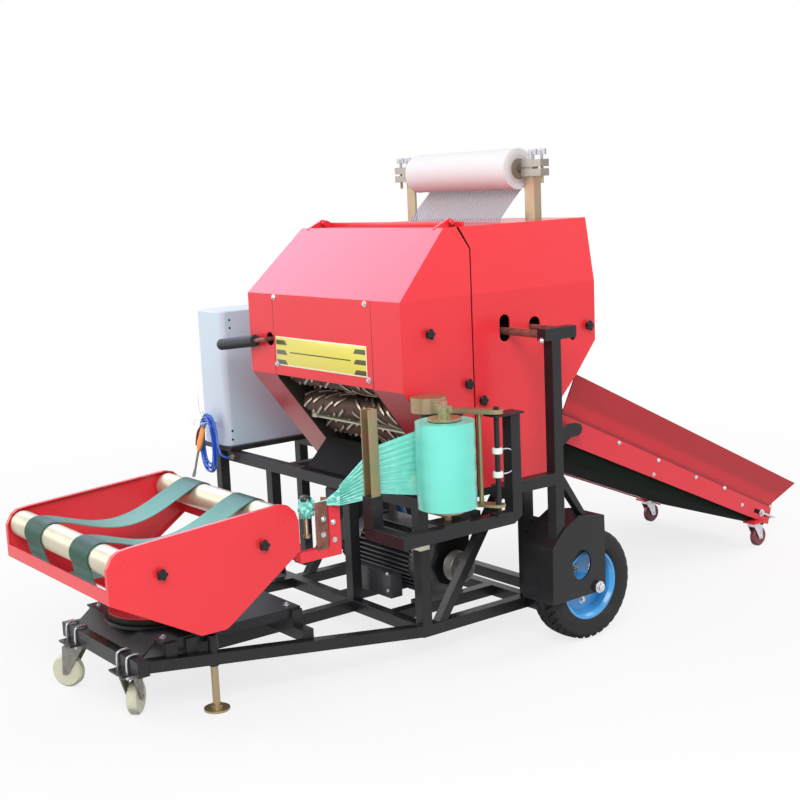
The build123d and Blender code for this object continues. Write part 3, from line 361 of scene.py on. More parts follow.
class Paint:
    """One material on the Principled shader, built from named nodes."""

    def __init__(self, name, color, rough, metal=0.0, coat=0.0, **sockets):
        self.material = bpy.data.materials.new(name)
        self.material.use_nodes = True
        self.tree = self.material.node_tree
        self.shader = self.tree.nodes["Principled BSDF"]
        self.shader.inputs["Base Color"].default_value = (*color, 1)
        self.shader.inputs["Roughness"].default_value = rough
        self.shader.inputs["Metallic"].default_value = metal
        self.shader.inputs["Coat Weight"].default_value = coat
        for key, value in sockets.items():
            self.shader.inputs[key.replace("_", " ")].default_value = value

    def add(self, kind, settings, inputs, output=0):
        """A node of a type, its settings first, then its sockets' values or links."""
        node = self.tree.nodes.new("ShaderNode" + kind)
        for key, value in settings.items():
            setattr(node, key, value)
        for key, value in inputs.items():
            self.put(node, key, value)
        return Wire(self, node.outputs[output])

    def put(self, node, key, value):
        target = node.inputs[key]
        if isinstance(value, Wire):
            self.tree.links.new(value.socket, target)
        elif target.type == "RGBA" and len(value) == 3:
            target.default_value = (*value, 1)
        else:
            target.default_value = value

    def set(self, **values):
        for key, value in values.items():
            self.put(self.shader, key.replace("_", " "), value)
        return self

    def along(self, way):
        """The machine's x, y or z of the shaded point, in millimetres, from Object coordinates."""
        k = "xyz".index(way)
        here = self.add("TexCoord", {}, {}, "Object")
        return self.add("SeparateXYZ", {}, {0: here}, k) * 1000 - float(SHIFT[k])

    def reach(self, ways, centre):
        """Distance from an axis in millimetres: the root of two squared offsets, added."""
        a, b = [(self.along(way) - float(c)) ** 2 for way, c in zip(ways, centre)]
        return (a + b) ** 0.5

    def noise(self, size, detail=3.0, scale=(1, 1, 1), rough=0.55):
        """Noise whose lumps are about size metres across, stretched along small scales."""
        here = self.add("TexCoord", {}, {}, "Object")
        place = self.add("Mapping", {}, {"Vector": here, "Scale": scale})
        return self.add("TexNoise", {}, {"Vector": place, "Scale": 1 / size, "Detail": detail,
                                         "Roughness": rough})

    def mix(self, factor, a, b):
        """Two colours through a Mix node."""
        node = self.tree.nodes.new("ShaderNodeMix")
        node.data_type = "RGBA"
        self.put(node, 0, factor)
        self.put(node, 6, a)
        self.put(node, 7, b)
        return Wire(self, node.outputs[2])

    def bump(self, height, depth, strength=1.0, edge=0.0):
        """Height in units of depth metres, into the Normal; edge rounds corners to look at."""
        inputs = {"Height": height, "Distance": depth, "Strength": strength}
        if edge:
            inputs["Normal"] = self.add("Bevel", {"samples": 4}, {"Radius": edge})
        self.set(Normal=self.add("Bump", {}, inputs))
        return self

    def facing_up(self):
        """How level a face is, from the surface's own normal."""
        normal = self.add("NewGeometry", {}, {}, "Normal")
        return self.add("SeparateXYZ", {}, {0: normal}, 2)


# %% [markdown]
# The stage: a pale floor, a white sky that the camera, mirrors and glass see, and soft
# lamps at a level at which a colour renders about as written. The floor glows white for
# the camera far out, so that it has no horizon, and keeps the shadow near the machine. A
# fourth, bluish lamp only shows in glossy paint: it is the open sky behind the machine,
# which the sloping hood mirrors as a pale pink.

# %% Floor, sky and lamps
def lamp(name, place, aim, size, power):
    """A square area lamp, aimed by turning its -Z towards a point."""
    data = bpy.data.lights.new(name, "AREA")
    data.size = size
    data.energy = power
    thing = bpy.data.objects.new(name, data)
    thing.location = place
    thing.rotation_euler = (Vector(aim) - Vector(place)).to_track_quat("-Z", "Y").to_euler()
    bpy.context.scene.collection.objects.link(thing)
    return thing


lamp("key", (4.4, -3.4, 4.4), (0, 0, 0.8), 3.2, 265)
lamp("fill", (-3.8, -4.2, 3.0), (0, 0, 0.6), 3.5, 115)
lamp("back", (1.5, 5.0, 4.2), (0, 0, 0.8), 3.5, 130)
sheen = lamp("sheen", (-3.3, -0.2, 3.5), (0, -0.4, 1.2), 3.0, 105)
sheen.data.color = (0.6, 0.67, 1.0)
sheen.visible_diffuse = False
sheen.visible_camera = False


def seen_directly(tree):
    """1 for camera, mirror and glass rays: the greatest of the three Light Path outputs."""
    ray = tree.nodes.new("ShaderNodeLightPath")
    out = ray.outputs["Is Camera Ray"]
    for other in ("Is Glossy Ray", "Is Transmission Ray"):
        either = tree.nodes.new("ShaderNodeMath")
        either.operation = "MAXIMUM"
        tree.links.new(out, either.inputs[0])
        tree.links.new(ray.outputs[other], either.inputs[1])
        out = either.outputs[0]
    return out


sky = bpy.data.worlds.new("sky")
bpy.context.scene.world = sky
sky.use_nodes = True
tree = sky.node_tree
glow = tree.nodes["Background"]
glow.inputs["Color"].default_value = (1, 1, 1, 1)
glow.inputs["Strength"].default_value = 0.46
seen = tree.nodes.new("ShaderNodeBackground")
seen.inputs["Color"].default_value = (1, 1, 1, 1)
seen.inputs["Strength"].default_value = 1.0
swap = tree.nodes.new("ShaderNodeMixShader")
tree.links.new(seen_directly(tree), swap.inputs[0])
tree.links.new(glow.outputs[0], swap.inputs[1])
tree.links.new(seen.outputs[0], swap.inputs[2])
tree.links.new(swap.outputs[0], tree.nodes["World Output"].inputs[0])

u, v = np.meshgrid(np.linspace(-14, 14, 15), np.linspace(-14, 14, 15), indexing="ij")
ground = bpy.data.meshes.new("floor")
rows = np.arange(225).reshape(15, 15)
tiles = np.stack([rows[:-1, :-1], rows[1:, :-1], rows[1:, 1:], rows[:-1, 1:]], -1).reshape(-1, 4)
ground.from_pydata(np.stack([u, v, 0 * u - 0.0005], -1).reshape(-1, 3).tolist(), [], tiles.tolist())
floor = bpy.data.objects.new("floor", ground)
bpy.context.scene.collection.objects.link(floor)
pale = Paint("pale_floor", (0.86, 0.86, 0.86), 0.9)
ground.materials.append(pale.material)
far = pale.reach("xy", -SHIFT[:2]).rise(1500, 4200)
white = pale.add("Emission", {}, {"Color": (1, 1, 1), "Strength": 1.0})
fade = pale.tree.nodes.new("ShaderNodeMixShader")
pale.put(fade, 0, Wire(pale, seen_directly(pale.tree)) * (far * 0.22 + 0.78))
pale.tree.links.new(pale.shader.outputs[0], fade.inputs[1])
pale.tree.links.new(white.socket, fade.inputs[2])
pale.tree.links.new(fade.outputs[0], pale.tree.nodes["Material Output"].inputs[0])
print("floor, sky and four lamps")

# %% [markdown]
# Painted steel: the base colour drifts over large lumps, thin upright streaks and a fine
# dust lie over it, and the clear coat of the finish mirrors the white sky. Faces that look
# down get painted shade: their colour is darker, and they are rougher and without the
# coat's shine. Edges are rounded for the light only, by a Bevel node under the bump,
# because a folded sheet is never as sharp as a solid.

# %% Painted sheet and tube
def painted(name, color, rough, coat=0.3, drift=0.12, dust=0.25, dust_color=(0.5, 0.46, 0.42),
            edge=0.003, grain=0.0025, depth=0.00012, chips=None, **sockets):
    """A finish of that name: drift is how far its colour swings, dust how much lies on it."""
    paint = Paint(name, color, rough, 0.0, coat, **sockets)
    lumps = paint.noise(0.4, 4)
    streaks = paint.noise(0.02, 3, (1, 1, 0.06))
    low = tuple(c * (1 - drift) for c in color)
    high = tuple(min(1.0, c * (1 + drift)) for c in color)
    tone = paint.mix(lumps, low, high)
    settled = (paint.facing_up().rise(0.55, 1.0) * 0.7 + 0.3) * paint.noise(0.09, 5).rise(0.35, 0.8)
    tone = paint.mix(settled * dust, tone, dust_color)
    tone = paint.mix(streaks.rise(0.62, 0.8) * (dust * 0.5), tone, dust_color)
    # Painted shade: faces that look down are darkened in colour.
    under = paint.facing_up().rise(-0.15, -0.5)
    tone = paint.mix(under * 0.6, tone, tuple(c * 0.25 for c in color))
    if chips:
        specks = paint.noise(0.006, 2).rise(0.70, 0.74) * paint.noise(0.12, 2).rise(0.5, 0.7)
        tone = paint.mix(specks, tone, chips)
    paint.set(Base_Color=tone, Coat_Weight=coat - under * coat,
              Roughness=lumps * (rough * 0.3) + rough * 0.8 + settled * 0.04 + under * 0.3)
    paint.bump(paint.noise(grain, 2), depth, 0.35, edge)
    paint.tone = tone
    finishes[name] = paint
    return paint


RED = (0.80, 0.030, 0.043)
SOOT = (0.20, 0.19, 0.18)
DULL = {"Specular_IOR_Level": 0.3}
SHEET = dict(rough=0.30, coat=0.2, drift=0.06, dust=0.06, dust_color=(0.80, 0.20, 0.22),
             Coat_Roughness=0.16, Specular_IOR_Level=0.35)
painted("red_sheet", RED, **SHEET)
painted("grip_foam", (0.030, 0.032, 0.038), 0.6, 0.0, 0.1, 0.04, SOOT, edge=0.0008, **DULL)
painted("black_frame", (0.012, 0.012, 0.014), 0.36, 0.08, 0.3, 0.05, SOOT,
        chips=(0.16, 0.13, 0.11), **DULL)
painted("black_sheet", (0.006, 0.006, 0.007), 0.62, 0.0, 0.3, 0.04, (0.10, 0.09, 0.08),
        Specular_IOR_Level=0.1)
painted("motor_black", (0.045, 0.047, 0.053), 0.36, 0.15, 0.3, 0.12, SOOT, edge=0.002)
painted("blue_rim", (0.045, 0.33, 0.72), 0.28, 0.35, 0.2, 0.15, (0.30, 0.36, 0.44), edge=0.0015)
painted("cream_wheel", (0.62, 0.61, 0.46), 0.34, 0.1, 0.1, 0.25, (0.32, 0.30, 0.24), edge=0.001)
painted("red_wheel", (0.17, 0.014, 0.024), 0.4, 0.1, 0.2, 0.3, (0.30, 0.22, 0.20), edge=0.001)
painted("black_grip", (0.010, 0.010, 0.011), 0.45, 0.0, 0.2, 0.06, SOOT, edge=0.0008, **DULL)
cabinet = painted("grey_cabinet", (0.60, 0.69, 0.80), 0.36, 0.1, 0.05, 0.06, (0.62, 0.62, 0.60),
                  grain=0.0035, depth=0.0002)
# Painted shade: the wall that faces the hood is painted darker and bluer than the front.
shaded_hood_wall = cabinet.along("x").rise(-722, -720.5)
cabinet.set(Base_Color=cabinet.mix(shaded_hood_wall * 0.85, cabinet.tone, (0.42, 0.65, 0.76)))
painted("orange_gun", (0.92, 0.33, 0.05), 0.32, 0.25, 0.08, 0.08, (0.9, 0.5, 0.2), edge=0.0)
painted("blue_hose", (0.012, 0.11, 0.62), 0.22, 0.4, 0.08, 0.06, (0.2, 0.3, 0.5), edge=0.0)
print(len(finishes), "painted finishes")

# %% [markdown]
# Inside the mouth every face is painted dark, as painted shade, and so is the table's hub
# below its floor. Both are the red finish with a dark colour where the object's own x, y
# and z say so.

# %% Red outside, dark inside
def shade_where(paint, mask):
    """The paint's tone goes to a mottled near-black, painted shade, where the mask is 1."""
    painted_shade_tone = paint.mix(paint.noise(0.03, 4), (0.010, 0.008, 0.006), (0.045, 0.036, 0.024))
    paint.tone = paint.mix(mask, paint.tone, painted_shade_tone)
    paint.set(Base_Color=paint.tone, Roughness=mask * 0.55 + 0.3, Coat_Weight=0.2 - mask * 0.2)


def inside_mouth(paint):
    """1 between the chamber's side walls, behind the front sheet and under slope and crown."""
    x, y, z = abs(paint.along("x")), paint.along("y"), paint.along("z")
    under = (z - y * 0.763).rise(1086, 1082) * z.rise(1300, 1296)
    return x.rise(271.5, 270.5) * y.rise(6, 8) * y.rise(562, 560) * under


chamber = painted("red_chamber", RED, **SHEET)
# Painted shade: the faces inside the mouth are painted near-black.
shade_where(chamber, inside_mouth(chamber))
table = painted("red_table", RED, **SHEET)
# Painted shade: the table's hub below its floor is painted near-black.
hub = table.reach("xy", (0, -640)).rise(140, 139) * table.along("z").rise(257.5, 257)
shade_where(table, hub)
print("dark inside the chamber and on the table's hub")

# %% [markdown]
# The conveyor's side is one folded sheet. The fold runs down along its row of bolts: the
# strip below it stands upright and is painted bright, as painted light, and the flared sheet
# above it is painted darker, as painted shade, with a painted soft shade in the fold. The
# height over that line picks the tone.

# %% Conveyor side
FOLD_SLOPE, FOLD_HEIGHT = 0.4732, 1032.0
side = painted("conveyor_red", (0.50, 0.014, 0.024), 0.32, 0.15, 0.05, 0.06, (0.6, 0.15, 0.16),
               **DULL)
over = side.along("z") + side.along("y") * FOLD_SLOPE - FOLD_HEIGHT
# Painted light and shade: bright below the fold, a dark crease in it, darker above it.
tone = side.mix(over.rise(-2, 2), (0.76, 0.034, 0.055), (0.30, 0.008, 0.013))
tone = side.mix(over.rise(2, 22), tone, (0.60, 0.018, 0.030))
tone = side.mix(over.rise(40, 75), tone, (0.42, 0.012, 0.020))
side.set(Base_Color=side.mix(side.noise(0.2, 3) * 0.25, tone, (0.55, 0.02, 0.03)))
side.bump(over.rise(-2, 4), 0.002, 0.8, 0.003)
print("conveyor side")

# %% [markdown]
# The front hood is a few folded panels. A dark gap runs down each side of its middle panel,
# wider low down, and on a little over the knee. It is drawn in the paint and pressed into
# it by the bump, as the gap is a hair wide.

# %% The hood's panel gaps
hood = painted("red_front", RED, **SHEET)
# Painted shade: inside the mouth the hood is painted near-black too.
shade_where(hood, inside_mouth(hood))
x, y, z = hood.along("x"), hood.along("y"), hood.along("z")
gaps = (x.near(-267, 0.7, 1.0) | x.near(273, 0.7, 1.0)) * y.rise(46, 30) * z.rise(852, 858)
wide = (x.near(-267, 1.6, 1.2) | x.near(273, 1.6, 1.2)) * y.rise(3, 1) * z.rise(1010, 860)
gaps = gaps | wide
hood.set(Base_Color=hood.mix(gaps * 0.92, hood.tone, (0.03, 0.004, 0.006)))
hood.bump(hood.noise(0.0025, 2) * 0.12 - gaps, 0.0012, 0.6, 0.003)

# %% [markdown]
# Bare and plated metal: the posts and clamps are zinc with a yellow passivation that
# shimmers from straw to rose, so its colour swings over small lumps. The drums are
# galvanised, with spangle: a Voronoi cell each a slightly different grey. Their stub
# shafts end flush in the table's sides and are painted over with them. On the net stand the
# clamps are greyer than the posts, and the screws on top are silver.

# %% Plated metals
def plated(name, tints, rough, metal=0.85, lump=0.05, scratch=0.25, edge=0.0015):
    """A finish of that name: three tints over lumps of that many metres, finely scratched."""
    paint = Paint(name, tints[0], rough, metal)
    swing = paint.noise(lump, 3)
    tone = paint.mix(swing.rise(0.35, 0.65), tints[0], tints[1])
    tone = paint.mix(paint.noise(lump * 2.3, 2).rise(0.5, 0.75), tone, tints[2])
    lines = paint.noise(0.002, 2, (0.15, 0.15, 1)).rise(0.6, 0.8)
    tone = paint.mix(lines * scratch, tone, tuple(c * 0.45 for c in tints[0]))
    paint.set(Base_Color=tone, Roughness=swing * 0.18 + (rough - 0.09))
    paint.bump(paint.noise(0.0012, 2), 0.00008, 0.4, edge)
    paint.tone = tone
    finishes[name] = paint
    return paint


plated("zinc", [(0.38, 0.33, 0.17), (0.43, 0.29, 0.19), (0.29, 0.34, 0.18)], 0.36, 0.75)
stand = plated("net_stand_zinc", [(0.36, 0.33, 0.20), (0.42, 0.28, 0.19), (0.33, 0.32, 0.20)],
               0.36, 0.75)
clamps, screws = [stand.along("z").rise(z - 0.5, z) for z in (1454, 1507)]
grey = stand.mix(stand.noise(0.02), (0.24, 0.22, 0.19), (0.34, 0.31, 0.27))
tone = stand.mix(clamps, stand.tone, grey)
stand.set(Base_Color=stand.mix(screws, tone, (0.36, 0.36, 0.38)))
plated("bright_steel", [(0.68, 0.69, 0.72), (0.60, 0.60, 0.62), (0.74, 0.74, 0.76)], 0.28, 0.9,
       0.02)
plated("cast_grey", [(0.27, 0.26, 0.24), (0.22, 0.21, 0.19), (0.32, 0.30, 0.26)], 0.48, 0.7, 0.02)
plated("rusty_steel", [(0.20, 0.085, 0.07), (0.30, 0.12, 0.08), (0.12, 0.05, 0.05)], 0.58, 0.35,
       0.015)
drum = plated("galvanised", [(0.60, 0.54, 0.40), (0.53, 0.49, 0.36), (0.66, 0.59, 0.45)], 0.36,
              0.45, 0.08, 0.04)
here = drum.add("TexCoord", {}, {}, "Object")
spangle = drum.add("TexVoronoi", {}, {"Vector": here, "Scale": 140.0}, "Color")
cell = drum.add("SeparateXYZ", {}, {0: spangle}, 0)
stub = abs(drum.along("x")).rise(343.0, 343.6)
drum.set(Roughness=cell * 0.06 + 0.34, Metallic=0.45 - stub * 0.45,
         Base_Color=drum.mix(stub, drum.tone, RED))

# %% [markdown]
# Each baling roller is a rusty brown drum with raised bars that the bales have rubbed
# bright. The distance from the roller's own axis tells bar from drum, so each roller has
# its own copy of the finish, centred on its box.

# %% Baling rollers
for name in [n for n in nodes if n.startswith(("gate_roller", "chamber_roller"))]:
    paint = Paint(name + "_steel", (0.1, 0.07, 0.05), 0.5, 0.55)
    reach = paint.reach("yz", machine_middle(name)[1:])
    rust = paint.noise(0.02, 5)
    base = paint.mix(rust, (0.040, 0.026, 0.020), (0.16, 0.085, 0.055))
    worn = reach.rise(39.6, 41.2) * (paint.noise(0.012, 3).rise(0.2, 0.55) * 0.6 + 0.4)
    paint.set(Base_Color=paint.mix(worn, base, (0.52, 0.43, 0.35)), Roughness=0.62 - worn * 0.25,
              Metallic=worn * 0.35 + 0.4)
    paint.bump(rust, 0.0006, 0.5, 0.0012)
    finishes[name] = paint
print(len(finishes), "finishes so far")

# %% [markdown]
# Rubber, belts, film and net. The stretch film is a pale mint plastic whose layers show as
# fine rings on the roll's ends; the net is a white knit, seen as a fine diagonal grid.

# %% Rubber, film and net
painted("tyre_rubber", (0.016, 0.016, 0.017), 0.72, 0.0, 0.2, 0.3, (0.16, 0.14, 0.11), edge=0.0,
        **DULL)
painted("roller_rubber", (0.012, 0.035, 0.026), 0.42, 0.05, 0.2, 0.1, (0.1, 0.12, 0.1), edge=0.001)
painted("dark_belt", (0.010, 0.015, 0.011), 0.9, 0.0, 0.25, 0.06, (0.06, 0.06, 0.05), edge=0.0,
        Specular_IOR_Level=0.04)

belt = Paint("green_belt", (0.02, 0.2, 0.15), 0.45, Specular_IOR_Level=0.3)
rub = belt.noise(0.05, 4)
# Painted light and shade: the belt's colour is dark on the drums and pale on the free spans.
painted_span_light = belt.add("Attribute", {"attribute_name": "mark"}, {}, 2)
tone = belt.mix(painted_span_light, (0.002, 0.060, 0.036), (0.15, 0.44, 0.38))
tone = belt.mix(rub.rise(0.5, 0.8) * 0.12, tone, (0.20, 0.30, 0.24))
weave = (belt.along("x").wave(1.6) * belt.noise(0.0016, 1, (0.6, 1, 1)))
belt.set(Base_Color=tone, Roughness=rub * 0.25 + 0.32).bump(weave, 0.0004, 0.6)
finishes["green_belt"] = belt

roll = Paint("green_film", (0.22, 0.80, 0.66), 0.26, 0.0, 0.35)
rings = roll.reach("xy", machine_middle("film_roll")[:2]).wave(1.7)
layers = rings * abs(roll.facing_up()).rise(0.5, 0.9)
bands = roll.noise(0.16, 2, (1, 1, 0.4))
tone = roll.mix(bands.rise(0.3, 0.75), (0.135, 0.65, 0.53), (0.17, 0.73, 0.61))
tone = roll.mix(layers * 0.35, tone, (0.10, 0.55, 0.45))
roll.set(Base_Color=tone, Roughness=bands * 0.1 + 0.2)
roll.bump(layers + roll.noise(0.02, 2) * 0.2, 0.0004, 0.4)
finishes["green_film"] = roll

NET_HALF, NET_R = 255, 65
wound = Paint("white_net", (0.84, 0.84, 0.85), 0.7)
mid = machine_middle("net_roll")
off_x, off_y, off_z = [wound.along(way) - float(c) for way, c in zip("xyz", mid)]
reach = (off_y ** 2 + off_z ** 2) ** 0.5
ends = abs(off_x).rise(NET_HALF - 5, NET_HALF - 1)
turn = off_z.math("ARCTAN2", off_y) * NET_R
knit_lines = (wound.along("x") + turn).wave(5.0) | (wound.along("x") - turn).wave(5.0)
rings = reach.wave(4.0) * ends
tone = wound.mix(knit_lines.rise(0.75, 1.0) * (1 - ends) * 0.8, (0.78, 0.78, 0.79),
                 (0.86, 0.86, 0.86))
tone = wound.mix(ends * reach.rise(66, 30) * 0.9, tone, (0.34, 0.28, 0.26))
tone = wound.mix(rings * 0.5, tone, (0.50, 0.46, 0.46))
tone = wound.mix(ends * reach.rise(35, 32), tone, (0.20, 0.15, 0.11))
wound.set(Base_Color=tone, Roughness=wound.noise(0.03, 3) * 0.2 + 0.6)
wound.bump(knit_lines * (1 - ends) * 0.4 + rings, 0.0009, 0.6)
finishes["white_net"] = wound
print(len(finishes), "finishes")

# %% [markdown]
# Every CAD node that stays takes the finish of its slot. The rollers have one each, and the
# table below names the other nodes that have their own. The casters' plating is greyer.

# %% Finishes onto the CAD nodes
OWN = {"gate_shell": "red_front", "gate_handle": "rusty_steel", "chamber_shell": "red_chamber",
       "table_frame": "red_table", "conveyor_trough": "conveyor_red",
       "net_stand": "net_stand_zinc"}


def dress(thing, paint):
    """The paint into each of the thing's material slots, or into a new one."""
    if not thing.data.materials:
        thing.data.materials.append(None)
    for holder in thing.material_slots:
        holder.material = paint.material


for part in frame["record"]["subparts"]:
    name, slot = part["node"], part["material_slot"]
    wanted = OWN.get(name, name)
    if "caster" in name and slot == "zinc":
        wanted = "cast_grey" if name.startswith("front") else "bright_steel"
    dress(nodes[name], finishes.get(wanted) or finishes[slot])

# %% [markdown]
# The yellow plate on the hood is a thin sheet with three black bars at each end and a line
# across the middle. It carries nothing else. The bars come from the plate's own x and z: a
# bar is a band in z, which comes back every 32.3 mm, and its inner end leans with it.

# %% The yellow plate
PLATE_X, PLATE_HALF, PLATE_LOW, PLATE_HIGH, PITCH = -6, 251, 880, 976, 32.3
sign = painted("yellow_plate", (0.78, 0.69, 0.10), 0.34, 0.25, 0.06, 0.10, (0.8, 0.75, 0.5),
               edge=0.0)
x, z = sign.along("x"), sign.along("z")
off = abs(x - PLATE_X)
run = PLATE_HALF - off
lean = (z - 875.85).math("MODULO", PITCH) - PITCH / 2
bars = lean.near(0, 7.2, 0.8) * (run + lean * 0.85).rise(62, 60.5) * run.rise(3, 4)
rule = z.near(926.5, 1.7, 0.8) * off.rise(170, 168)
rim = z.near(PLATE_HIGH, 3, 1) | z.near(PLATE_LOW, 4.5, 1) | run.rise(2.5, 1.5)
tone = sign.mix(rim, sign.tone, (0.93, 0.88, 0.62))
sign.set(Base_Color=sign.mix((bars | rule) * 0.93, tone, (0.035, 0.03, 0.025)))
plate = block((PLATE_X - PLATE_HALF, -2.0, PLATE_LOW),
              (PLATE_X + PLATE_HALF, -0.1, PLATE_HIGH), 0.8)
knit("yellow_plate", [plate], None, "gate", finish_name="yellow_plate")

# %% [markdown]
# Screws, bolts and nuts are small, but they are what makes a machine look built. Each is a
# six-sided head on a washer, and one mesh holds all those that move together.

# %% Screws, bolts and nuts
AXLE_Y, AXLE_Z = 589, 178
SIDES = (("right", 1), ("left", -1))


def bolts(name, body, rows, slot="bright_steel"):
    """One piece of bolt heads, from rows of (places, way, size)."""
    knit(name, [grid for row in rows for grid in hex_bolts(*row)], slot, body)


plate_screws = [(-256, 0, 1104), (246, 0, 1103), (-252, -2, 884), (251, 0, 873)]
bolts("hood_screws", "gate", [(plate_screws, -Y, 10)])
bolts("frame_bolts", "chassis", [
    ([(x, y, 230) for x in (-205, 205) for y in (-725, -310)], Z, 11),
    ([(582, 398, 971)], -Y, 11),
    ([(616, AXLE_Y, AXLE_Z)], X, 20), ([(-616, AXLE_Y, AXLE_Z)], -X, 20),
    ([(x, 129, z) for z in (215, 158) for x in (-45, 125)], -Y, 6)])
bolts("tee_bolt", "chassis", [([(582, 526, 971)], Y, 11)], "black_grip")
side_bolts = [(1053, 522), (1255, 427), (1228, 380), (1457, 331), (1619, 262), (1721, 178),
              (1893, 140), (1893, 99)]
bolts("conveyor_bolts", "conveyor", [([(way * 271, y, z) for y, z in side_bolts], way * X, 8)
                                     for way in (-1, 1)])
clamp_bolts = [(346.5, -224, 494), (347, -221, 441), (347, -257, 509), (347, -260, 463)]
bolts("clamp_bolts", "table", [(clamp_bolts, X, 9)])
angle = np.radians(72 * np.arange(5) + 51)
for side_name, way in SIDES:
    places = np.stack([0 * angle + way * 539, AXLE_Y + 58 * np.cos(angle),
                       AXLE_Z + 58 * np.sin(angle)], -1)
    bolts(f"wheel_{side_name}_nuts", "wheel_" + side_name, [(places, way * X, 13)])

# %% [markdown]
# The hood's sides and the table are held shut by black knobs with five lobes. A knob is a
# turned form whose radius swells five times on the way round: r (1 + 0.15 cos 5t).

# %% Five-lobed knobs
KNOB = [(0, 0, 0), (0, 8, 0), (6, 8, 0), (7, 12, 0.13), (9, 14.5, 0.15), (16, 14.5, 0.15),
        (19, 12, 0.13), (20, 6, 0.1), (20, 0, 0)]
knob_places = {"gate": [(418, 99, 1013), (418, 243, 847)],
               "chassis": [(418, 298, 790), (418, 757, 973)],
               "table": [(346, -790, 458), (346, -467, 474)]}
for body, places in knob_places.items():
    grids = [turned(KNOB, (way * x, y, z), way * X, 40, 5)
             for x, y, z in places for way in (-1, 1)]
    knit(body + "_knobs", grids, "black_grip", body)

# %% [markdown]
# The gate's handle is a rusty rod with a moulded grip, turned with shallow finger rings.
# Beside it, inside the mouth, a cream bar crosses over the rollers, with a small bracket. A
# red strip lies along the crown.

# %% Handle grip, mouth bar and crown strip
along = np.linspace(-112.5, 112.5, 46)
ring = 19.8 + 0.3 * np.cos(along * 2 * np.pi / 30)
grip = np.vstack([[(-114, 0)], [(-114, 18)], np.stack([along, ring], -1), [(117, 17)], [(120, 0)]])
knit("handle_grip", [turned(grip, (-466, -22, 942.1), (-284.0, 0, -36.0), 28)], "black_grip",
     "gate", finish_name="grip_foam")
bar_outline = [(136.0, 686.6), (167.0, 698.0), (165.8, 704.2), (135.0, 692.6)]
knit("mouth_bar", [panel(bar_outline, (-268.4, 0, 0), Y, Z, 536.8),
                   block((-262, 128, 686), (-232, 150, 712), 2)], "cream_wheel", "gate")
knit("crown_strip", [block((-377, 283, 1315), (377, 290, 1331), 1.5)], "red_sheet", "chassis")

# %% [markdown]
# The blow gun on the hose: an orange body whose width swells in the middle, a brass inlet,
# a darker lever and a thin grey tube. Each is a ring carried along a line, wider than deep.
# Three thin bent wires stand beside its inlet.

# %% Blow gun
GUN = [(-786, -1, 606), (-794, -1, 592), (-804, -1, 572), (-815, -1, 551), (-826, -1, 530),
       (-836, -1, 511)]
LEVER = [(-808, -1, 602), (-826, -1, 590), (-840, -1, 560), (-846, -1, 532)]
TUBE = [(-832, -1, 518), (-852, -1, 478), (-868, -1, 440), (-886, -1, 408)]
INLET = [(-4, 0), (-4, 6), (6, 6), (6, 7.5), (13, 7.5), (13, 5), (18, 5), (18, 0)]
TIES = [[(-806, 8, 640), (-812, 3, 662), (-817, 2, 690), (-824, 6, 726)],
        [(-816, 8, 621), (-838, 2, 634), (-862, 3, 617), (-871, 8, 596), (-884, 4, 624),
         (-899, 6, 650)],
        [(-796, 8, 648), (-789, 1, 668), (-780, 0, 662), (-783, 4, 646), (-800, 5, 639)]]
body = knit("gun_body", [carried(eased(GUN, 2), [6, 12, 14, 15, 16, 17, 16, 12, 6], 20, Y, 0.5)],
            "orange_gun", "chassis", ["air_gun"])
lever = knit("gun_lever", [carried(eased(LEVER, 2), 4.5, 12, Y, 1.1)], "red_wheel", "chassis")
nozzle = knit("gun_tube", [carried(eased(TUBE, 2), [4.4, 4.4, 4.4, 4.4, 6.5, 6], 14, Y)],
              "cast_grey", "chassis")
inlet = knit("gun_inlet", [turned(INLET, (-791, -1, 601), (0.72, 0, 0.69), 18)], "zinc", "chassis")
knit("wire_ties", [carried(eased(p), 0.9, 6) for p in TIES], "bright_steel", "chassis")

# %% [markdown]
# The rolls are wound plastic: never quite true. A profile runs along the outside, down one
# end over small steps, along the bore and up the other end, and is turned round the axis.

# %% Film roll and net roll
def wound_profile(half, outer, core, bore, step, proud=0.0):
    """(along, radius): the outside bulges by a sine of its length, and each end goes up and
    down by a step as layer follows layer; the core stands proud of them."""
    a = np.linspace(-half + 2, half - 2, 30)
    outside = np.stack([a, outer - 0.4 - 0.5 * np.cos(a * 0.11) - 0.3 * np.sin(a * 0.31)], -1)
    r = np.linspace(outer - 2, core, 22)
    end = np.stack([half - 1.2 - step * (0.5 + 0.5 * np.sin(r * 1.9) * np.cos(r * 0.6)), r], -1)
    lip = [(half + proud, core - 0.5), (half + proud, bore)]
    far = np.vstack([end, lip])
    return np.vstack([outside, far, (far * (-1, 1))[::-1]])


rolls = [("film_roll", "green_film", wound_profile(125, 85, 39, 38.05, 1.6, -0.2),
          (617, -14, 670), Z),
         ("net_roll", "white_net", wound_profile(NET_HALF, NET_R, 32, 12.1, 2.4, 1.8),
          (0, 632, 1480), X)]
for node, slot, profile, middle, axis in rolls:
    closed = (turned(profile, middle, axis, 96)[0], (True, True))
    knit(node + "_wound", [closed], slot, node, [node], 50)

# %% [markdown]
# The netting leaves the roll low at its back, touching it, and runs forward and down into
# the slot in the hood. It is one sheet with a slight slack. Two families of slanting threads
# cross on it, and between them the finish's alpha is lower.

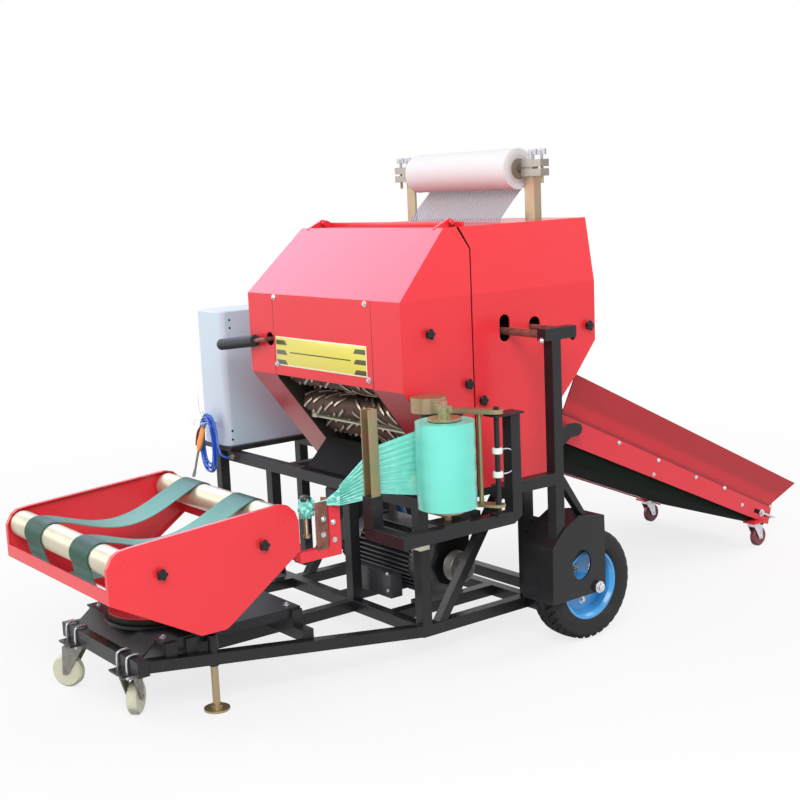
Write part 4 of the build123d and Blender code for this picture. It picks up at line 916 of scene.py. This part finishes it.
# %% Netting
net = Paint("netting", (0.44, 0.38, 0.41), 0.6)
x, z = net.along("x"), net.along("z")
threads = ((x + z * 0.6).wave(13.0) | (x - z * 1.4).wave(6.0) * 0.8).rise(0.45, 0.9)
net.set(Alpha=threads * 0.3 + 0.65,
        Base_Color=net.mix(threads, (0.10, 0.09, 0.13), (0.44, 0.38, 0.41)))
finishes["netting"] = net
u, v = np.meshgrid(np.linspace(0, 1, 14), np.linspace(-1, 1, 90), indexing="ij")
slack = 1.6 * np.sin(3.1 * v + 2 * u) * np.sin(np.pi * u) + 0.5 * np.sin(21 * v)
web = np.stack([236 * v * (1 - 0.012 * np.sin(np.pi * u)), 677.8 - 120 * u + slack * 0.5,
                1432.4 - 114.9 * u - slack * 0.5], -1)
netting = knit("netting_sheet", [(web, (False, False))], "white_net", "chassis", ["netting"], 180,
               finish_name="netting")

# %% [markdown]
# The stretch film leaves its roll 220 mm high, turns at the gold guide and runs together to
# 59 mm at the table's clamp. Its height shrinks along the way and the spare width goes
# into pleats: ridges across the film that grow as the height falls, all running to one end.

# %% Film web
film = Paint("film_web", (0.25, 0.82, 0.70), 0.2, 0.0, 0.5, Coat_Roughness=0.12)
across = film.add("Attribute", {"attribute_name": "mark"}, {}, 2)
crease = film.noise(0.010, 3, (0.4, 0.4, 1)).rise(0.42, 0.70)
folds = (across * 61).math("SINE") * 0.5 + 0.5
# Painted light and shade: each pleat is bright on one side and dark on the other, fainter towards
# the roll.
painted_pleat_light = (folds * 0.55 + crease * 0.45 - 0.5) * (film.along("x").rise(535, 440) * 0.75 + 0.25) + 0.5
film.set(Base_Color=film.mix(painted_pleat_light, (0.12, 0.64, 0.53), (0.36, 0.93, 0.80)),
         Alpha=painted_pleat_light * 0.08 + 0.88, Roughness=crease * 0.15 + 0.14)
film.bump(painted_pleat_light, 0.0016, 0.6)
finishes["film_web"] = film
film_solid = Paint("film_bunch", (0.25, 0.82, 0.70), 0.24, 0.0, 0.5)
# Painted light and shade: the crumples are darker and lighter in colour, the same noise as their
# bump.
painted_crumple_shade = film_solid.noise(0.012, 4).rise(0.35, 0.7)
film_solid.set(Base_Color=film_solid.mix(painted_crumple_shade, (0.05, 0.48, 0.40), (0.45, 0.95, 0.84)))
film_solid.bump(painted_crumple_shade, 0.0022, 0.8)
finishes["film_bunch"] = film_solid

WEB = [(542.0, 38.0, 0), (505.0, -90.0, 0), (479.6, -173.0, 0), (476.5, -178.0, 0),
       (462.0, -183.0, 0), (368.0, -211.0, 0)]
plan = eased(WEB, 3)
s = np.concatenate([[0], np.cumsum(np.linalg.norm(np.diff(plan, axis=0), axis=1))])
share = np.linspace(0, s[-1], 110)
line = np.stack([np.interp(share, s, plan[:, k]) for k in (0, 1)], -1)
low, high = [np.interp(share, [0, 205, 245, s[-1]], heights)
             for heights in ([556, 589, 571, 544], [776, 727, 693, 603])]
v = np.linspace(0, 1, 110)[:, None]
u = (share / s[-1])[None, :]
pleat = 0.4 + 4.6 * np.clip(u - 0.42, 0, 1) ** 1.2
coarse = np.sin(2 * np.pi * (9 * v + 0.9 * np.sin(3 * u)))
ripple = pleat * (coarse + 0.5 * np.sin(2 * np.pi * (17 * v - u))) * np.sin(np.pi * v) ** 0.4
side_way = np.gradient(line, axis=0)
side_way /= np.linalg.norm(side_way, axis=1, keepdims=True)
height = low + (high - low) * (v + 0.035 * np.sin(np.pi * v) * np.sin(6 * u))
sheet_points = np.stack([line[:, 0] - side_way[:, 1] * ripple,
                         line[:, 1] + side_way[:, 0] * ripple, height], -1)
web = knit("film_web_sheet", [(sheet_points, (False, False), np.broadcast_to(v, height.shape))],
           "green_film", "chassis", ["film_web"], 180, finish_name="film_web")

# %% [markdown]
# At the table the film is held between a rusty angle and its bracket. Its end sticks out as
# a crumpled bunch: a ball whose radius is broken up by a few crossing waves. A flat strand
# joins the bunch to the web.

# %% Clamp post and film bunch
knit("clamp_post", [block((342, -284, 418), (347, -242, 560), 2),
                    block((316, -244.5, 405), (345, -239.5, 568), 2)], "rusty_steel", "table")
t, f = np.meshgrid(np.linspace(0, 2 * np.pi, 72, endpoint=False),
                   np.linspace(-np.pi / 2, np.pi / 2, 40))
waves = 0.20 * np.sin(4 * t + 3 * f) + 0.12 * np.sin(7 * t - 5 * f) + 0.10 * np.sin(11 * f + 3 * t)
r = 1 + waves * np.cos(f) ** 0.5
ball = np.stack([319 + 17 * r * np.cos(f) * np.cos(t), -297 + 24 * r * np.cos(f) * np.sin(t),
                 545 + 31 * r * np.sin(f)], -1)
strand = eased([(319, -285, 0), (334, -260, 0), (345, -243, 0), (356, -226, 0), (369, -210, 0)], 3)
upright, wrap = carried(strand, [1.1, 0.9, 1.2, 2.4, 3.7], 20, flat=8.0)
lift = np.interp(np.linspace(0, 1, len(upright)), [0, 0.3, 0.55, 1], [552, 551, 557, 574])
upright = upright + lift[:, None, None] * Z
knit("film_bunch", [(ball, (False, True)), (upright, wrap)], "green_film", "table", (), 180,
     finish_name="film_bunch")
KNOB_X, KNOB_Y = 319, -299
dome = [(0, 0), (0, 15), (6, 17), (12, 15), (16, 9), (18, 0)]
knit("clamp_knob", [turned(dome, (KNOB_X, KNOB_Y, 566), Z, 24)], "roller_rubber", "table")
thread = [(10 + 2 * k, 6 + (k % 2)) for k in range(26)]
screw = [(0, 0), (0, 11), (9, 11), (9, 6), *thread, (62, 0)]
knit("clamp_screw", [turned(screw, (KNOB_X, KNOB_Y, 456), Z, 18)], "zinc", "table")

# %% [markdown]
# Two flat belts run over the table's drums, sagging between them and hanging slack below.
# Their colour is painted shade where they lie on the drums and painted light on the spans.
# The line repeats the CAD model's: arcs round the drums and a dip of 66 mm between, swept
# with a rounded section. The belts are 118 mm wide, as in the photograph, and the CAD
# model's are narrower.

# %% Table belts
def belt_line():
    """(y, z) and how far the belt is off its drums: arcs of 42.2 mm, a dip of 66 sin(pi t)
    to the power 1.3, and a slack end that falls 125 mm and comes forward 300 mm."""
    def arc(drum, start, stop):
        angle = np.radians(np.linspace(start, stop, 34))
        return np.stack([drum[0] + 42.2 * np.cos(angle), drum[1] + 42.2 * np.sin(angle)], -1)
    rear, nose = arc((-402, 530), -60, 100), arc((-895, 497), 72, 212)
    t = np.linspace(0, 1, 62)[1:-1]
    dip = 66 * np.sin(np.pi * t) ** 1.3
    top = rear[-1] + (nose[0] - rear[-1]) * t[:, None] - np.stack([0 * dip, dip], -1)
    s = np.linspace(0, 0.9, 40)[1:]
    low = nose[-1] + np.stack([300 * s ** 1.6, -125 * np.sin(np.pi * np.minimum(0.9 * s, 0.5))], -1)
    path = np.vstack([rear, top, nose, low])
    free = np.concatenate([np.zeros(34), np.sin(np.pi * t) ** 0.5, np.zeros(34),
                           np.minimum(s * 4, 1)])
    return path, free


path, free = belt_line()
run = np.gradient(path, axis=0)
run /= np.linalg.norm(run, axis=1, keepdims=True)
normal = np.stack([-run[:, 1], run[:, 0]], -1)
section = np.array([(0.8, -1.5), (0, 0), (0.8, 1.5), (59, 1.5), (117.2, 1.5), (118, 0),
                    (117.2, -1.5), (59, -1.5)])
grids = []
for left in (-212.0, 100.0):
    flat = path[:, None] + normal[:, None] * section[:, 1, None]
    across = np.broadcast_to(left + section[:, 0], flat.shape[:2])
    points = np.stack([across, flat[..., 0], flat[..., 1]], -1)
    ends = [np.broadcast_to(points[k].mean(0), points[k].shape)[None] for k in (0, -1)]
    # This mark carries the painted light: 0 on the drums, rising to 1 on the spans.
    span_light_mark = np.repeat(np.concatenate([free[:1], free, free[-1:]])[:, None], 8, 1)
    grids.append((np.vstack([ends[0], points, ends[1]]), (False, True), span_light_mark))
knit("belts", grids, "green_belt", "table", ["table_belts"], 50)

# %% [markdown]
# A tyre is a profile turned round the axle; its tread is a depth taken off the radius: two
# grooves round it, and slanting grooves that come from both shoulders and miss the middle.

# %% Tyres
def tyre_grid(middle, way):
    """Rows across, columns round: radius = profile - 7 mm times the greatest of the grooves."""
    half = np.array([(40, 112), (44, 117), (47.5, 126), (48, 140), (47.5, 154), (45, 165),
                     (40, 172), (36, 175)])
    flat = np.linspace(33, -33, 34)
    crown = np.stack([flat, 178 - 2.6 * (flat / 33) ** 2], -1)
    rows = np.vstack([half, crown, (half * (-1, 1))[::-1]])
    t = 2 * np.pi * np.arange(288) / 288
    a, r = rows[:, :1], rows[:, 1:]
    slant = np.cos(36 * t[None] + way * 0.16 * np.abs(a))
    cross = np.clip((slant - 0.55) / 0.25, 0, 1) * np.clip((np.abs(a) - 7) / 2, 0, 1)
    rings = np.clip(1 - np.abs(np.abs(a) - 15) / 2.2, 0, 1)
    tread = np.clip((r - 166) / 6, 0, 1) * 7 * np.maximum(cross, rings)
    radius = r - tread
    wheel = [middle + a + 0 * t, AXLE_Y + radius * np.cos(t), AXLE_Z + radius * np.sin(t)]
    return np.stack(wheel, -1), (True, True)


for side_name, way in SIDES:
    knit(f"tyre_{side_name}_tread", [tyre_grid(way * 535.0, way)], "tyre_rubber",
         "wheel_" + side_name, ["tyre_" + side_name], 40)

# %% [markdown]
# Bolts shaped like a U hold the caster plates to the nose tube: a round rod bent over the
# tube, with a nut on each leg. Two white collars and a bent wire handle sit on the film
# arm's rod, and a worn band on the near post.

# %% U-bolts, wire handle and band
grids = []
for x in (190, 130, -150, -210):
    rod = [(x, -836, 130), (x, -836, 186), (x, -829, 196), (x, -813, 197.5), (x, -797, 196),
           (x, -790, 186), (x, -790, 130)]
    grids.append(carried(eased(rod, 3), 3.4, 8, X))
    grids += hex_bolts([(x, y, 141) for y in (-836, -790)], -Z, 9)
knit("nose_u_bolts", grids, "bright_steel", "chassis")
wire = [(655, 150, 688), (655, 186, 691), (655, 214, 672), (655, 216, 634), (655, 190, 616),
        (655, 150, 619)]
knit("wire_handle", [carried(eased(wire), 2.2, 8, X)], "bright_steel", "chassis")
collar = [(-9, 8.2), (-9, 13), (-7, 15), (7, 15), (9, 13), (9, 8.2)]
collars = [(turned(collar, (655, 145, z), Z, 28)[0], (True, True)) for z in (688, 619)]
knit("rod_collars", collars, "white_net", "chassis", finish_name="collar_plastic")
painted("collar_plastic", (0.80, 0.80, 0.78), 0.4, 0.1, 0.05, 0.1, edge=0.001)
knit("post_band", [block((343.2, 66.2, 352), (380.8, 103.8, 374), 1.0)], "cream_wheel", "chassis")

# %% [markdown]
# Under the conveyor's side the returning belt shows as a dark belly with a thin red lower
# rail, and its tail has a slot with the belt's adjusting bolt; the slot is a thin black strip
# of painted shade. The cabinet has pairs of small holes near its corners, each a thin black
# disc of painted shade.

# %% Conveyor belly and adjusters, cabinet holes
belly = panel([(792, 500), (1868, 66), (1874, 76), (782, 566)], (-256, 0, 0), Y, Z, 512)
knit("conveyor_belly", [belly], "dark_belt", "conveyor")
rail = panel([(790, 495), (1858, 63), (1858, 69), (790, 501)], (-262, 0, 0), Y, Z, 7)
knit("belly_rail", [rail], "red_sheet", "conveyor")
slot_lines = [np.linspace((w * 271, 1796, 143), (w * 271, 1868, 112), 6) for w in (-1, 1)]
# Painted shade: each slot is a thin black strip.
knit("adjuster_slots", [carried(p, 8, 14, X, 0.1) for p in slot_lines], "black_sheet", "conveyor")
heads = [g for w in (-1, 1) for g in hex_bolts([(w * 272, 1838, 125)], w * X, 15)]
rod_lines = [np.linspace((w * 280, 1846, 122), (w * 280, 1906, 96), 12) for w in (-1, 1)]
knit("adjuster_bolts", heads + [carried(p, 4, 10, X) for p in rod_lines], "bright_steel",
     "conveyor")
HOLE = [(-1, 0), (-1, 4.2), (0.35, 4.2), (0.35, 0)]
hole_places = [(98, 994), (98, 965), (82, 588), (82, 556), (416, 581), (414, 546), (420, 985)]
# Painted shade: each hole is a thin black disc.
knit("cabinet_holes", [turned(HOLE, (-720, y, z), X, 14) for y, z in hole_places], "black_sheet",
     "chassis")

# %% [markdown]
# Every new piece named the finish it wants, and takes it here.

# %% Finishes onto the new pieces
for thing in list(bpy.data.objects):
    if thing.get("wants"):
        dress(thing, finishes[thing["wants"]])
        del thing["wants"]
dress(hose, finishes["blue_hose"])
